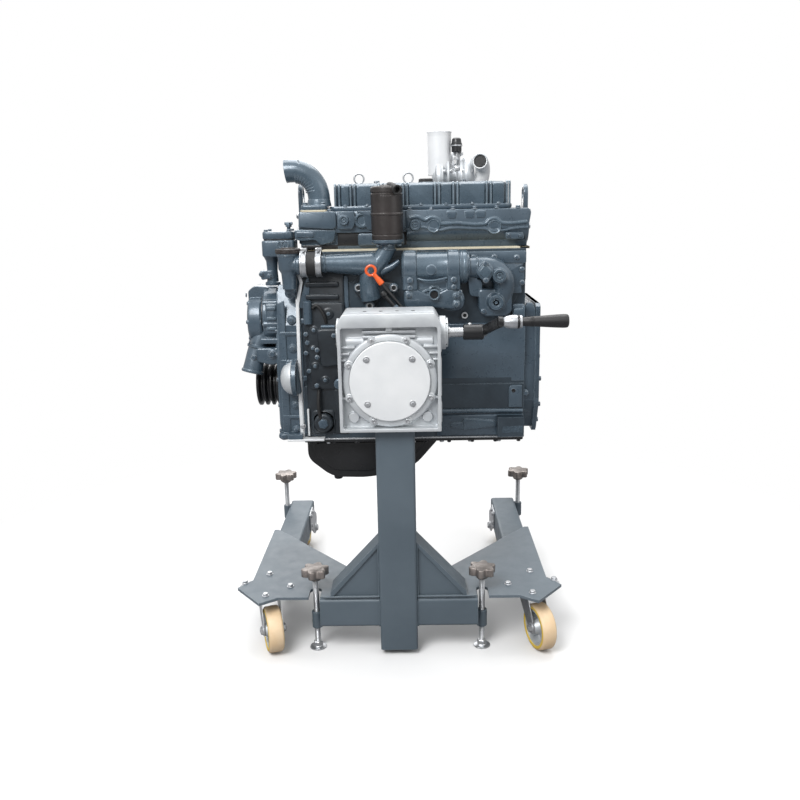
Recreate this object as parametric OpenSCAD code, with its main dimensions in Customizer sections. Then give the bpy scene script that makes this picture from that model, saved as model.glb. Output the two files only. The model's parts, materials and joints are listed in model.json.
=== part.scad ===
// Four-cylinder truck diesel engine on its rolling, rotating display stand.
// Millimetres. X runs along the crankshaft from the pulley to the flywheel,
// Y runs from the hand crank back over the legs, Z is up and the floor is Z = 0.
// The origin is on the floor below the middle of the whole object.

/* [Stand] */
// Side of the square column
col_w = 100; // [90:1:110]
// Height of the column's foot above the floor
col_foot = 16; // [8:1:30]
// Height of the column's top above the floor
col_top = 634; // [620:1:660]
// Column top plate thickness
col_cap = 12; // [8:1:20]
// Outer corner radius of the tubes
tube_round = 8; // [4:1:12]
// Wall of the tubes
tube_wall = 5; // [3:0.5:6]
// Side of the square cross tubes and legs
beam_w = 80; // [70:1:84]
// Height of the tubes' top face above the floor
beam_top = 160; // [156:1:170]
// Half length of the cross tube
beam_reach = 212; // [190:1:225]
// Leg's middle, sideways from the column
leg_x = 357; // [350:1:370]
// Leg's front end, behind the column
leg_front = 175; // [170:1:250]
// Leg's rear end, behind the column
leg_rear = 725; // [715:1:760]
// Base plate thickness
plate_t = 8; // [5:1:12]
// Reach of the base plates' outer corners from the column
plate_reach = 444; // [436:1:450]
// Rear end of the base plates, behind the column
plate_len = 435; // [400:1:480]
// Height where the braces meet the column
brace_top = 322; // [280:1:360]
// Reach of the braces along the cross tube
brace_foot = 182; // [150:1:195]
// Brace width
brace_w = 76; // [60:1:80]
// Brace sheet thickness
brace_t = 6; // [4:1:8]

/* [Casters] */
// Wheel radius
wheel_r = 62.5; // [61:0.5:64]
// Width of the wheel's tread
wheel_w = 40; // [34:1:42]
// Half length of the wheel's hub
hub_half = 23; // [22:0.5:24]
// Radius of the wheel's hub
hub_r = 22; // [18:1:26]
// Inner radius of the wheel's tread
tread_r = 50; // [47:1:54]
// Inner radius of the wheel's rim
rim_r = 43; // [40:1:46]
// Half thickness of the wheel's web
web_half = 5; // [3:1:8]
// Axle radius
axle_r = 8; // [6:0.5:9]
// Caster swivel axis, sideways from the column
caster_x = 364; // [355:1:370]
// Caster swivel axis, behind the column
caster_y = 40; // [30:1:45]
// Distance from the swivel axis to the wheel's axle
trail = 56; // [45:1:58]
// Heading of the front wheels from the X axis, in degrees
caster_heading = -71; // [-90:1:-60]
// Long bolt spacing of the caster plates
bolt_long = 105; // [100:1:108]
// Short bolt spacing of the caster plates
bolt_short = 80; // [75:1:84]
// Turn of the caster plates, in degrees
bolt_turn = 48; // [40:1:55]
// Kingpin radius
kingpin_r = 8; // [6:0.5:10]
// Fork sheet thickness
fork_t = 3; // [2:0.5:4]
// Rear axle, behind the column
rear_axle_y = 710; // [700:1:720]

/* [Jacks] */
// Jack screw radius
rod_r = 8; // [6:0.5:9]
// Outer radius of the jack sleeves
sleeve_r = 13.5; // [12:0.5:15]
// Jack sleeve length
sleeve_h = 48; // [40:1:50]
// Height of the front sleeves' lower end
front_sleeve_z = 61; // [55:1:70]
// Height of the rear sleeves' lower end
rear_sleeve_z = 101; // [99:1:105]
// Jack foot radius
foot_r = 23; // [18:1:28]
// Jack foot thickness
foot_t = 8; // [6:1:10]
// Reach of the star knobs' lobes
knob_r = 37.5; // [30:0.5:42]
// Star knob height
knob_h = 22; // [16:1:26]
// Height of the front knobs' underside
front_knob_z = 214; // [205:1:230]
// Height of the rear knobs' underside
rear_knob_z = 248; // [235:1:270]
// Rear jacks, behind the column
rear_jack_y = 712; // [705:1:718]

/* [Worm gearbox] */
// Gearbox width
box_w = 252.5; // [245:0.5:260]
// Height of the gearbox below its output axis
box_low = 127.5; // [125:0.5:130]
// Height of the gearbox above its output axis
box_high = 167.5; // [160:0.5:170]
// Front face, ahead of the column
box_front = 78; // [74:1:82]
// Rear face, behind the column
box_rear = 64; // [62:1:66]
// Sideways shift of the output axis
box_shift = -9; // [-12:1:-6]
// Distance between the worm's axis and the output axis
centre_distance = 110; // [109:0.5:111]
// Depth of the framed recess in the front face
box_recess = 26; // [20:1:30]
// Width of the frame around the recess
box_rim = 7; // [5:0.5:9]
// Height of the frame's top band
box_band = 33; // [25:1:34]
// Corner chamfer at the top
box_chamfer = 14; // [8:1:18]
// Radius of the cover's flange
cover_r = 117.5; // [112:0.5:118]
// Thickness of the cover's flange
cover_t = 16; // [10:1:18]
// Bare front plate radius
disc_r = 100; // [94:1:103]
// Bare front plate thickness
disc_t = 8; // [5:1:10]
// Output shaft radius
output_r = 30; // [26:1:34]
// Teeth on the worm wheel
wheel_teeth = 44; // [40:1:48]
// Tip radius of the worm wheel
wheel_tip = 88; // [86:0.5:88]
// Depth of the worm wheel's teeth
wheel_tooth = 8; // [6:0.5:9]
// Worm wheel width
wheel_face = 40; // [34:1:42]
// Worm's axis, ahead of the column
worm_ahead = 7; // [5:1:9]
// Tip radius of the worm
worm_tip = 21.5; // [20:0.5:21.5]
// Root radius of the worm
worm_root = 15; // [14:0.5:17]
// Pitch of the worm's thread
worm_pitch = 12.5; // [11:0.5:14]
// Worm journal radius
worm_journal = 12.5; // [11:0.5:14]

/* [Hand crank] */
// Inner end of the crank's socket, right of the column
socket_x = 175; // [170:1:180]
// Length of the crank's socket
socket_len = 54; // [45:1:58]
// Radius of the crank's socket
socket_r = 19.5; // [17:0.5:22]
// Distance from the worm's axis to the grip's axis
arm_len = 105; // [90:1:110]
// Rise of the arm above level, in degrees
arm_rise = 21; // [0:1:60]
// Arm width
arm_w = 25; // [20:1:30]
// Arm thickness
arm_t = 8; // [6:0.5:10]
// Sideways step of the arm
arm_step = 34; // [20:1:40]
// Grip length
grip_len = 108; // [90:1:115]
// Grip radius
grip_r = 16; // [13:0.5:18]
// Radius of the grip's spindle
spindle_r = 6; // [5:0.5:8]

/* [Engine mounting] */
// Output flange radius
flange_r = 88; // [70:1:95]
// Output flange thickness
flange_t = 18; // [12:1:22]
// Spacer radius
spacer_r = 16; // [12:1:20]
// Thickness of the carrier plate on the block
carrier_t = 14; // [10:1:18]

/* [Engine block] */
// Block's front face, left of the column
block_front = 264; // [255:1:270]
// Block length
block_len = 620; // [610:1:630]
// Crankshaft axis, behind the column
crank_y = 345; // [340:1:350]
// Block width
block_w = 320; // [314:1:326]
// Crankshaft axis above the floor
crank_z = 675; // [670:1:680]
// Block's lower face, below the crankshaft
skirt = 133; // [125:1:140]
// Block's upper face, above the crankshaft
deck = 391; // [385:1:396]
// Cylinder bore radius
bore_r = 54; // [50:0.5:56]
// Cylinder spacing
bore_pitch = 130; // [128:1:131]
// Half stroke of the pistons
throw_r = 62.5; // [55:0.5:64]
// Roof of the crankcase, above the crankshaft
crankcase_roof = 155; // [150:1:160]
// Wall of the crankcase
block_wall = 20; // [15:1:24]
// Bearing wall thickness
bulkhead_t = 24; // [20:1:26]

/* [Crank train] */
// Main journal radius
main_r = 42; // [38:0.5:44]
// Crankpin radius
pin_r = 34; // [30:0.5:36]
// Crank web thickness
web_t = 24; // [20:1:26]
// Reach of the counterweights
weight_r = 92; // [80:1:94]
// Distance between the crankshaft and the camshaft
cam_distance = 135; // [134:0.5:136]
// Direction of the camshaft from the crankshaft, in degrees above level
cam_angle = 66; // [64:1:67]
// Camshaft journal radius
cam_r = 24; // [20:0.5:26]
// Teeth on the crankshaft's gear
crank_teeth = 30; // [28:1:32]
// Timing gear module
gear_module = 3; // [2.9:0.05:3.1]
// Timing gear width
gear_face = 24; // [18:1:28]
// Belt pulley radius
pulley_r = 66; // [60:1:70]
// Belt pulley length
pulley_len = 80; // [70:1:88]
// Belt groove depth
groove_depth = 13; // [10:1:15]
// Flywheel radius
flywheel_r = 118; // [110:1:120]
// Flywheel thickness
flywheel_t = 26; // [20:1:27]
// Piston height
piston_h = 94; // [80:1:98]

/* [Head and covers] */
// Head gasket thickness
gasket_t = 3; // [2:0.5:4]
// Gasket's edge beyond the block's upper part
gasket_proud = 3; // [1:0.5:4]
// Cylinder head height
head_h = 102; // [96:1:108]
// Cylinder head width
head_w = 280; // [270:1:290]
// Height of the head's drawn-in lower band
head_band = 46; // [36:1:54]
// Depth of the head's drawn-in lower band
head_tuck = 22; // [14:1:28]
// Rocker cover's front end, left of the column
cover_front = 168; // [160:1:175]
// Rocker cover length
cover_len = 486; // [470:1:495]
// Rocker cover width
cover_w = 210; // [200:1:220]
// Rocker cover height
cover_h = 72; // [64:1:76]
// Wall of the cast covers
cast_wall = 6; // [5:0.5:8]
// Depth of the oil pan's sump below the block
sump_depth = 134; // [120:1:140]
// Oil pan sump length
sump_len = 382; // [360:1:400]
// Oil pan sump width
sump_w = 220; // [200:1:240]
// Oil pan flange thickness
pan_flange = 9; // [6:1:12]
// Gear case depth
gear_case_t = 58; // [52:1:62]
// Flywheel housing depth
bell_t = 42; // [38:1:46]
// Thickness of the flywheel housing's rear plate
bell_plate = 12; // [8:1:14]

/* [Coolant and air] */
// Coolant pump's radius
pump_r = 84; // [76:1:88]
// Coolant pump's axis above the crankshaft
pump_rise = 208; // [202:1:214]
// Front end of the coolant pump, left of the column
pump_front = 418; // [410:1:424]
// Hose and pipe axis, ahead of the block's side
hose_ahead = 34; // [33:1:38]
// Hose and pipe axis above the crankshaft
hose_rise = 362; // [356:1:366]
// Coolant hose radius
hose_r = 33; // [28:1:34]
// Coolant hose length
hose_len = 56; // [48:1:62]
// Tapered coolant pipe length
pipe_len = 104; // [96:1:106]
// Radius of the tapered pipe at the hose
pipe_r = 24; // [20:1:27]
// Outlet elbow radius
elbow_r = 31; // [28:1:33]
// Reach of the outlet elbow's mouth, left of the column
elbow_reach = 290; // [280:1:296]
// Outlet elbow's axis above the head
elbow_rise = 108; // [100:1:112]
// Breather canister radius
canister_r = 43; // [38:1:44]
// Breather canister height
canister_h = 138; // [128:1:144]
// Canister's axis, right of the column
canister_x = -14; // [-20:1:-8]
// Breather pipe radius
breather_r = 22; // [18:1:24]

/* [Oil cooler] */
// Radius of the oil cooler's barrel
cooler_r = 44; // [40:1:45]
// Left end of the oil cooler, right of the column
cooler_x = 24; // [18:1:30]
// Oil cooler length
cooler_len = 174; // [165:1:180]
// Oil cooler's axis above the crankshaft
cooler_rise = 348; // [344:1:352]
// Oil cooler's axis, ahead of the block's side
cooler_ahead = 20; // [16:1:22]
// Radius of the filter head's lobes
lobe_r = 32; // [28:1:34]

/* [Turbocharger] */
// Turbocharger's axis above the crankshaft
turbo_rise = 590; // [580:1:600]
// Turbocharger's axis, behind the crankshaft axis
turbo_back = 175; // [170:1:180]
// Radius of the compressor's volute
volute_r = 58; // [52:1:62]
// Turbocharger duct radius
duct_r = 36; // [32:1:38]
// Turbocharger shaft radius
rotor_r = 8; // [6:0.5:9]
// Exhaust manifold log radius
log_r = 30; // [26:1:32]

/* [Hidden] */
$fn = 64;

// Overrun of cuts
e = 1;
// Running clearance of shafts in their bores
fit = 0.06;
// Clearance between parts that move past each other
gap = 0.4;

// Paint and metal colours
paint = "#4d5d68";
plate_paint = "#8a96a0";
cast_alu = "#cfd2d4";
zinc = "#b9bcc0";
steel = "#9a9da1";
black = "#1d1e20";
canister_brown = "#2c2624";
rubber_black = "#222222";
gasket_cream = "#d8d0b8";
tyre_cream = "#ecd0a4";
knob_grey = "#8c8078";
handle_orange = "#e8601c";

// Main places on the stand
output_z = col_top + box_low;
worm_z = output_z + centre_distance;
worm_y = -worm_ahead;
grip_y = worm_y - arm_len * cos(arm_rise);
grip_z = worm_z + arm_len * sin(arm_rise);
front_reach = grip_r - grip_y;
rear_reach = rear_axle_y + wheel_r;
middle_y = (rear_reach - front_reach) / 2;
beam_low = beam_top - beam_w;
plate_top = beam_top + plate_t;
leg_inner = leg_x - beam_w / 2;
leg_outer = leg_x + beam_w / 2;
front_jack_x = beam_reach + sleeve_r;
rear_jack_x = leg_outer + sleeve_r;

// Main places on the engine
block_rear = block_len - block_front;
block_mid = (block_rear - block_front) / 2;
near_y = crank_y - block_w / 2;
far_y = crank_y + block_w / 2;
skirt_z = crank_z - skirt;
deck_z = crank_z + deck;
head_z = deck_z + gasket_t;
head_top = head_z + head_h;
head_near = crank_y - head_w / 2;
head_far = crank_y + head_w / 2;
roof_z = crank_z + crankcase_roof;
end_wall = 18;
cover_mid = cover_len / 2 - cover_front;
head_front = block_front - end_wall / 2;
head_rear = block_rear + end_wall / 2;
cam_y = crank_y - cam_distance * cos(cam_angle);
cam_z = crank_z + cam_distance * sin(cam_angle);
hose_y = near_y - hose_ahead;
hose_z = crank_z + hose_rise;
pump_z = crank_z + pump_rise;
canister_y = head_near - canister_r;
case_front = block_front + gear_case_t;
throws = [1, -1, -1, 1];

// A box between two opposite corners
module span(low, high) translate(low) cube(high - low);

// A round bar along X, Y or Z, from one coordinate to another
module bar_x(x0, x1, r) translate([x0, 0, 0]) rotate([0, 90, 0]) cylinder(r = r, h = x1 - x0);
module bar_y(y0, y1, r) translate([0, y1, 0]) rotate([90, 0, 0]) cylinder(r = r, h = y1 - y0);
module bar_z(z0, z1, r) translate([0, 0, z0]) cylinder(r = r, h = z1 - z0);

// A cone along X
module cone_x(x0, x1, r0, r1)
    translate([x0, 0, 0]) rotate([0, 90, 0]) cylinder(r1 = r0, r2 = r1, h = x1 - x0);

// A flat outline drawn in YZ and thickened along X, and one drawn in XZ and thickened along Y
module slab_x(x0, x1) translate([x0, 0, 0]) rotate([90, 0, 90]) linear_extrude(x1 - x0) children();
module slab_y(y0, y1) translate([0, y1, 0]) rotate([90, 0, 0]) linear_extrude(y1 - y0) children();

// A rectangle about its middle with round corners
module round_rect(w, h, r) {
    square([w - 2 * r, h], center = true);
    square([w, h - 2 * r], center = true);
    for (x = [-1, 1], y = [-1, 1])
        translate([x * (w / 2 - r), y * (h / 2 - r)]) circle(r);
}

// An outline of shares scaled to a width and a height
function scaled(shares, w, h) = [for (p = shares) [p[0] * w, p[1] * h]];

// The same child on the left and on the right
module both_sides() {
    children();
    mirror([1, 0, 0]) children();
}

// Puts the stand's column in its place in the object's frame
module placed() translate([0, -middle_y, 0]) children();

// A hexagon head or nut on a washer, its seat at the origin and its top along Z
module hex_head(r, h) {
    cylinder(r = r * 1.25, h = h * 0.2);
    translate([0, 0, h * 0.2]) cylinder(r = r, h = h * 0.8, $fn = 6);
}

// A socket screw's head, its seat at the origin
module socket_head(r, h) difference() {
    cylinder(r = r, h = h);
    translate([0, 0, h / 2]) cylinder(r = r / 2, h = h, $fn = 6);
}

// Route of a bent pipe: a smooth curve through points, and rings about it
function unit(v) = v / norm(v);
function curve_point(a, b, c, d, t) = 0.5 * (2 * b + (c - a) * t
    + (2 * a - 5 * b + 4 * c - d) * t * t + (3 * b - a - 3 * c + d) * t * t * t);
function smooth(p, n) = [
    for (i = [0 : len(p) - 2], k = [0 : n - 1])
        curve_point(p[max(i - 1, 0)], p[i], p[i + 1], p[min(i + 2, len(p) - 1)], k / n),
    p[len(p) - 1]
];
function heading(p, i) = unit(p[min(i + 1, len(p) - 1)] - p[max(i - 1, 0)]);
module bent_pipe(points, r0, r1, ref, sides = 14, steps = 3) {
    p = smooth(points, steps);
    last = len(p) - 1;
    rings = [for (i = [0 : last])
        let (t = heading(p, i), u = unit(cross(t, ref)), v = cross(t, u), r = r0 + (r1 - r0) * i / last)
            for (k = [0 : sides - 1])
                p[i] + r * (cos(360 * k / sides) * u + sin(360 * k / sides) * v)];
    walls = [for (i = [0 : last - 1], k = [0 : sides - 1])
        let (a = i * sides + k, b = i * sides + (k + 1) % sides)
            for (f = [[a, b + sides, b], [a, a + sides, b + sides]]) f];
    start = [for (k = [0 : sides - 1]) k];
    finish = [for (k = [sides - 1 : -1 : 0]) last * sides + k];
    polyhedron(points = rings, faces = concat(walls, [start, finish]));
}

// Square tube along Z, its wall open at the lower end
module column() placed() color(paint) difference() {
    translate([0, 0, col_foot]) linear_extrude(col_top - col_foot) round_rect(col_w, col_w, tube_round);
    translate([0, 0, col_foot - e]) linear_extrude(col_top - col_cap - col_foot + e)
        round_rect(col_w - 2 * tube_wall, col_w - 2 * tube_wall, tube_round - tube_wall);
}

// The two stubs of the cross tube, closed where the jacks stand
module cross_tube() placed() color(paint) both_sides() difference() {
    slab_x(col_w / 2, beam_reach) translate([0, beam_top - beam_w / 2])
        round_rect(beam_w, beam_w, tube_round);
    slab_x(col_w / 2 - e, beam_reach - tube_wall) translate([0, beam_top - beam_w / 2])
        round_rect(beam_w - 2 * tube_wall, beam_w - 2 * tube_wall, tube_round - tube_wall);
}

// The legs, with a slot below for the rear wheels
wheel_slot = wheel_w / 2 + 2 * fork_t;
slot_top = 2 * wheel_r + 4 * fork_t;
module legs() placed() color(paint) both_sides() translate([leg_x, 0, 0]) difference() {
    slab_y(leg_front, leg_rear) translate([0, beam_top - beam_w / 2])
        round_rect(beam_w, beam_w, tube_round);
    slab_y(leg_front - e, leg_rear - tube_wall) translate([0, beam_top - beam_w / 2])
        round_rect(beam_w - 2 * tube_wall, beam_w - 2 * tube_wall, tube_round - tube_wall);
    span([-wheel_slot, rear_axle_y - wheel_r - 2 * fork_t, beam_low - e],
        [wheel_slot, leg_rear + e, slot_top]);
}

// Base plate between the cross tube and a leg, notched for the front jack
plate_shares = [
    [0.117, -0.078], [0.53, -0.078], [0.545, -0.087], [0.725, -0.087], [0.831, -0.163],
    [1, 0.05], [0.923, 0.157], [0.923, 1], [0.894, 1], [0.714, 0.793],
    [0.644, 0.706], [0.336, 0.34], [0.135, 0.104]
];
notch_r = rod_r * 2;
function bolt_places() = [for (a = [-1, 1], b = [-1, 1]) [a * bolt_long / 2, b * bolt_short / 2]];
caster_bolt_r = 5;
module base_plates() placed() color(plate_paint) both_sides() translate([0, 0, beam_top]) difference() {
    linear_extrude(plate_t) polygon(scaled(plate_shares, plate_reach, plate_len));
    translate([front_jack_x, 0, -e]) cylinder(r = notch_r, h = plate_t + 2 * e);
    translate([front_jack_x - notch_r, -beam_w, -e]) cube([2 * notch_r, beam_w, plate_t + 2 * e]);
    translate([caster_x, caster_y, -e]) rotate(bolt_turn) for (p = bolt_places())
        translate(p) cylinder(r = caster_bolt_r + fit, h = plate_t + 2 * e);
}

// Braces from the column down to the cross tube: a sloping web with two side plates
brace_low = plate_top;
brace_toe = 2 * brace_t;
module column_braces() placed() color(paint) both_sides() {
    x0 = col_w / 2;
    x1 = brace_foot;
    slab_y(-brace_w / 2, brace_w / 2)
        polygon([[x0, brace_top], [x0, brace_top - 2 * brace_t], [x1 - brace_t, brace_low],
            [x1, brace_low], [x1, brace_low + brace_toe]]);
    for (y = [-brace_w / 2 + brace_t, brace_w / 2 - 2 * brace_t])
        slab_y(y, y + brace_t)
            polygon([[x0, brace_top - 2 * brace_t], [x0, brace_low], [x1 - brace_t, brace_low]]);
}

// Threaded sleeves of the four jacks, with their welding pads
module sleeve(x, y, z) {
    translate([x, y, z]) difference() {
        union() {
            cylinder(r = sleeve_r, h = sleeve_h);
            translate([-sleeve_r, -sleeve_r / 2, 0]) cube([sleeve_r, sleeve_r, sleeve_h]);
        }
        translate([0, 0, -e]) cylinder(r = rod_r + fit, h = sleeve_h + 2 * e);
    }
}
module jack_sleeves() placed() color(black) both_sides() {
    difference() {
        sleeve(front_jack_x, 0, front_sleeve_z);
        span([0, -beam_w, 0], [beam_reach, beam_w, beam_top]);
    }
    sleeve(rear_jack_x, rear_jack_y, rear_sleeve_z);
}

// Jack screw with its star knob
knob_lobes = 6;
lobe_share = 0.27;
knob_body_share = 0.74;
module jack_screw(x, y, knob_z) placed() translate([x, y, 0]) {
    color(zinc) bar_z(foot_t, knob_z + knob_h / 2, rod_r);
    color(knob_grey) translate([0, 0, knob_z]) {
        linear_extrude(knob_h) {
            circle(knob_r * knob_body_share);
            for (k = [0 : knob_lobes - 1])
                rotate(360 * k / knob_lobes) translate([knob_r * (1 - lobe_share), 0])
                    circle(knob_r * lobe_share);
        }
        translate([0, 0, -knob_h / 2]) cylinder(r = rod_r * 1.8, h = knob_h / 2);
    }
}
module front_left_screw() jack_screw(-front_jack_x, 0, front_knob_z);
module front_right_screw() jack_screw(front_jack_x, 0, front_knob_z);
module rear_left_screw() jack_screw(-rear_jack_x, rear_jack_y, rear_knob_z);
module rear_right_screw() jack_screw(rear_jack_x, rear_jack_y, rear_knob_z);

// Jack foot: a disc with a domed collar round the screw's end
module jack_foot(x, y) placed() translate([x, y, 0]) color(zinc) rotate_extrude()
    polygon([[0, 0], [foot_r, 0], [foot_r, foot_t / 4], [rod_r * 1.6, foot_t - gap], [0, foot_t - gap]]);
module front_left_foot() jack_foot(-front_jack_x, 0);
module front_right_foot() jack_foot(front_jack_x, 0);
module rear_left_foot() jack_foot(-rear_jack_x, rear_jack_y);
module rear_right_foot() jack_foot(rear_jack_x, rear_jack_y);

// Caster wheel about the origin, its axle along Y
wheel_windows = 5;
module caster_wheel() {
    chamfer = wheel_w / 10;
    color(tyre_cream) difference() {
        rotate([90, 0, 0]) rotate_extrude() polygon([
            [axle_r + fit, -hub_half], [hub_r, -hub_half], [hub_r, -web_half], [rim_r, -web_half],
            [rim_r, -wheel_w / 2 + chamfer], [tread_r, -wheel_w / 2], [wheel_r - chamfer, -wheel_w / 2],
            [wheel_r, -wheel_w / 2 + chamfer], [wheel_r, wheel_w / 2 - chamfer],
            [wheel_r - chamfer, wheel_w / 2], [tread_r, wheel_w / 2], [rim_r, wheel_w / 2 - chamfer],
            [rim_r, web_half], [hub_r, web_half], [hub_r, hub_half], [axle_r + fit, hub_half]
        ]);
        for (k = [0 : wheel_windows - 1])
            rotate([0, 360 * k / wheel_windows, 0]) translate([(hub_r + rim_r) / 2, 0, 0])
                bar_y(-web_half - e, web_half + e, (rim_r - hub_r) / 3);
    }
}
module front_wheel(side) placed() translate([side * caster_x, caster_y, 0]) rotate(caster_heading)
    translate([trail, 0, wheel_r]) caster_wheel();
module rear_wheel(side) placed() translate([side * leg_x, rear_axle_y, wheel_r]) rotate(90) caster_wheel();
module front_left_wheel() front_wheel(-1);
module front_right_wheel() front_wheel(1);
module rear_left_wheel() rear_wheel(-1);
module rear_right_wheel() rear_wheel(1);

// Swivel fork: crown, two cheeks and the axle with its nuts
mount_t = 4;
race_t = 6;
crown_t = 8;
race_r = 28;
crown_top = beam_top - mount_t - race_t - gap;
crown_low = crown_top - crown_t;
cheek_in = hub_half + fork_t / 3;
axle_end = cheek_in + 2 * fork_t;
module caster_fork(side) placed() color(zinc) translate([side * caster_x, caster_y, 0])
    rotate(caster_heading) {
        difference() {
            union() {
                bar_z(crown_low, crown_top, race_r);
                span([-race_r, -cheek_in - fork_t, crown_low], [race_r, cheek_in + fork_t, crown_top]);
            }
            bar_z(crown_low - e, crown_top + e, kingpin_r + fit);
        }
        for (y = [-cheek_in - fork_t, cheek_in]) slab_y(y, y + fork_t) {
            polygon([[-race_r, crown_low], [race_r, crown_low], [trail + 2 * axle_r, wheel_r],
                [trail - axle_r, wheel_r - axle_r]]);
            translate([trail, wheel_r]) circle(2 * axle_r);
        }
        translate([trail, 0, wheel_r]) {
            bar_y(-axle_end, axle_end, axle_r);
            for (y = [-axle_end, cheek_in + fork_t]) translate([0, y, 0]) rotate([-90, 0, 0])
                cylinder(r = 1.5 * axle_r, h = fork_t, $fn = 6);
        }
    }
module left_fork() caster_fork(-1);
module right_fork() caster_fork(1);

// Fixed parts of the casters: front top plates with kingpins, and the rear wheels' cheeks
mount_long = bolt_long + 6 * caster_bolt_r;
mount_short = bolt_short + 6 * caster_bolt_r;
pin_head_t = 5;
cheek_t = 4;
cheek_back_share = [
    [-1.9, 1.55], [-0.7, 1.55], [0.35, 1], [0.6, 0.6], [0.55, 0.1], [0.36, -0.25], [-0.25, -0.28]
];
module rear_cheek(x0, x1, top) slab_x(x0, x1) intersection() {
    translate([rear_axle_y, wheel_r]) {
        polygon(scaled(cheek_back_share, wheel_r, wheel_r));
        circle(2 * axle_r);
    }
    translate([rear_axle_y - 2 * wheel_r, 0]) square([3 * wheel_r, top]);
}
module caster_brackets() placed() color(zinc) both_sides() {
    translate([caster_x, caster_y, 0]) {
        difference() {
            translate([0, 0, beam_top - mount_t]) rotate(bolt_turn) linear_extrude(mount_t)
                round_rect(mount_long, mount_short, tube_round);
            rotate(bolt_turn) for (p = bolt_places())
                translate([p[0], p[1], beam_top - mount_t - e]) cylinder(r = caster_bolt_r + fit, h = mount_t + 2 * e);
        }
        bar_z(crown_top + gap, beam_top - mount_t, race_r);
        bar_z(crown_low - gap - pin_head_t, crown_top + gap, kingpin_r);
        bar_z(crown_low - gap - pin_head_t, crown_low - gap, kingpin_r * 1.6);
    }
    rear_cheek(leg_inner - cheek_t, leg_inner, beam_top);
    rear_cheek(leg_outer, leg_outer + cheek_t, rear_sleeve_z - gap);
    translate([0, rear_axle_y, wheel_r]) {
        bar_x(leg_inner - cheek_t, leg_outer + cheek_t, axle_r);
        translate([leg_inner - cheek_t, 0, 0]) rotate([0, -90, 0])
            cylinder(r = 1.5 * axle_r, h = 2 * cheek_t, $fn = 6);
        for (x = [leg_inner, leg_x + hub_half + gap])
            difference() {
                bar_x(x, x + beam_w / 2 - hub_half - gap, axle_r * 1.5);
                bar_x(x - e, x + beam_w, axle_r - fit);
            }
    }
}

// Bolts of the base plates and screws of the gearbox's covers
cover_screw_r = 6;
plate_screw_r = 5.5;
cover_screws = 8;
cover_screw_pcr = cover_r - 1.6 * cover_screw_r;
plate_screw_at = 56;
cover_front_y = -box_front + box_recess - cover_t;
disc_front_y = cover_front_y - disc_t;
module stand_fasteners() placed() color(zinc) {
    both_sides() translate([caster_x, caster_y, 0]) rotate(bolt_turn) for (p = bolt_places())
        translate([p[0], p[1], 0]) {
            bar_z(beam_top - mount_t, plate_top, caster_bolt_r);
            translate([0, 0, plate_top]) hex_head(1.6 * caster_bolt_r, 1.4 * caster_bolt_r);
            translate([0, 0, beam_top - mount_t]) rotate([180, 0, 0])
                hex_head(1.6 * caster_bolt_r, 1.4 * caster_bolt_r);
        }
    translate([box_shift, 0, output_z]) {
        for (k = [0 : cover_screws - 1]) rotate([0, 360 * (k + 0.5) / cover_screws, 0])
            translate([cover_screw_pcr, cover_front_y, 0]) rotate([90, 0, 0])
                socket_head(cover_screw_r, cover_screw_r);
        for (x = [-1, 1], z = [-1, 1]) translate([x * plate_screw_at, disc_front_y, z * plate_screw_at])
            rotate([90, 0, 0]) socket_head(plate_screw_r, plate_screw_r);
    }
}

// Gearbox housing: framed front, round cavity for the worm wheel, cross bore for the worm
box_wall = 28;
cavity_r = wheel_tip + 5;
worm_room = worm_tip + 4;
seat_left = box_w / 2 - box_shift - 20;
seat_right = box_w / 2 + box_shift - 20;
input_flange_r = 40;
input_end = box_w / 2 + box_shift + 20;
rib_h = 4;
rib_count = 7;
box_side_shares = [[-0.5, 0], [0.5, 0], [0.5, 0.95], [0.445, 1], [-0.445, 1], [-0.5, 0.95]];
module gearbox_housing() placed() color(cast_alu) difference() {
    union() {
        difference() {
            translate([box_shift, 0, col_top]) slab_y(-box_front, box_rear)
                polygon(scaled(box_side_shares, box_w, box_low + box_high));
            translate([box_shift, 0, 0])
                span([-box_w / 2 + box_rim, -box_front - e, col_top + box_rim],
                    [box_w / 2 - box_rim, -box_front + box_recess, output_z + box_high - box_band]);
        }
        for (k = [0 : rib_count - 1]) translate([box_shift, 0, output_z + cavity_r - 2 * k * rib_h * 1.6])
            span([-box_w / 2 + box_rim, -box_front + box_recess / 2, 0],
                [box_w / 2 - box_rim, -box_front + box_recess, rib_h]);
        translate([0, worm_y, worm_z]) bar_x(box_w / 2 + box_shift, input_end, input_flange_r);
    }
    translate([box_shift, 0, output_z]) {
        bar_y(-box_front - e, -box_front + box_recess, cover_r + gap);
        bar_y(-box_front - e, box_rear - box_wall, cavity_r);
        bar_y(0, box_rear + e, output_r + fit);
    }
    translate([0, worm_y, worm_z]) {
        bar_x(-seat_left, seat_right, worm_room);
        bar_x(-box_w / 2 + box_shift + box_rim, input_end + e, worm_journal + fit);
    }
}

// Front cover with the output shaft's front bearing seat
seat_depth = cover_t - 8;
module gearbox_cover() placed() color(cast_alu) translate([box_shift, 0, output_z]) difference() {
    union() {
        bar_y(cover_front_y, cover_front_y + cover_t, cover_r);
        bar_y(cover_front_y + cover_t, cover_front_y + cover_t + cover_screw_r, cavity_r - gap);
    }
    bar_y(cover_front_y + cover_t - seat_depth, cover_front_y + 2 * cover_t, output_r + fit);
}

// Bare round plate on the cover
module gearbox_disc() placed() color(cast_alu) translate([box_shift, 0, output_z])
    bar_y(disc_front_y, cover_front_y, disc_r);

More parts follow.
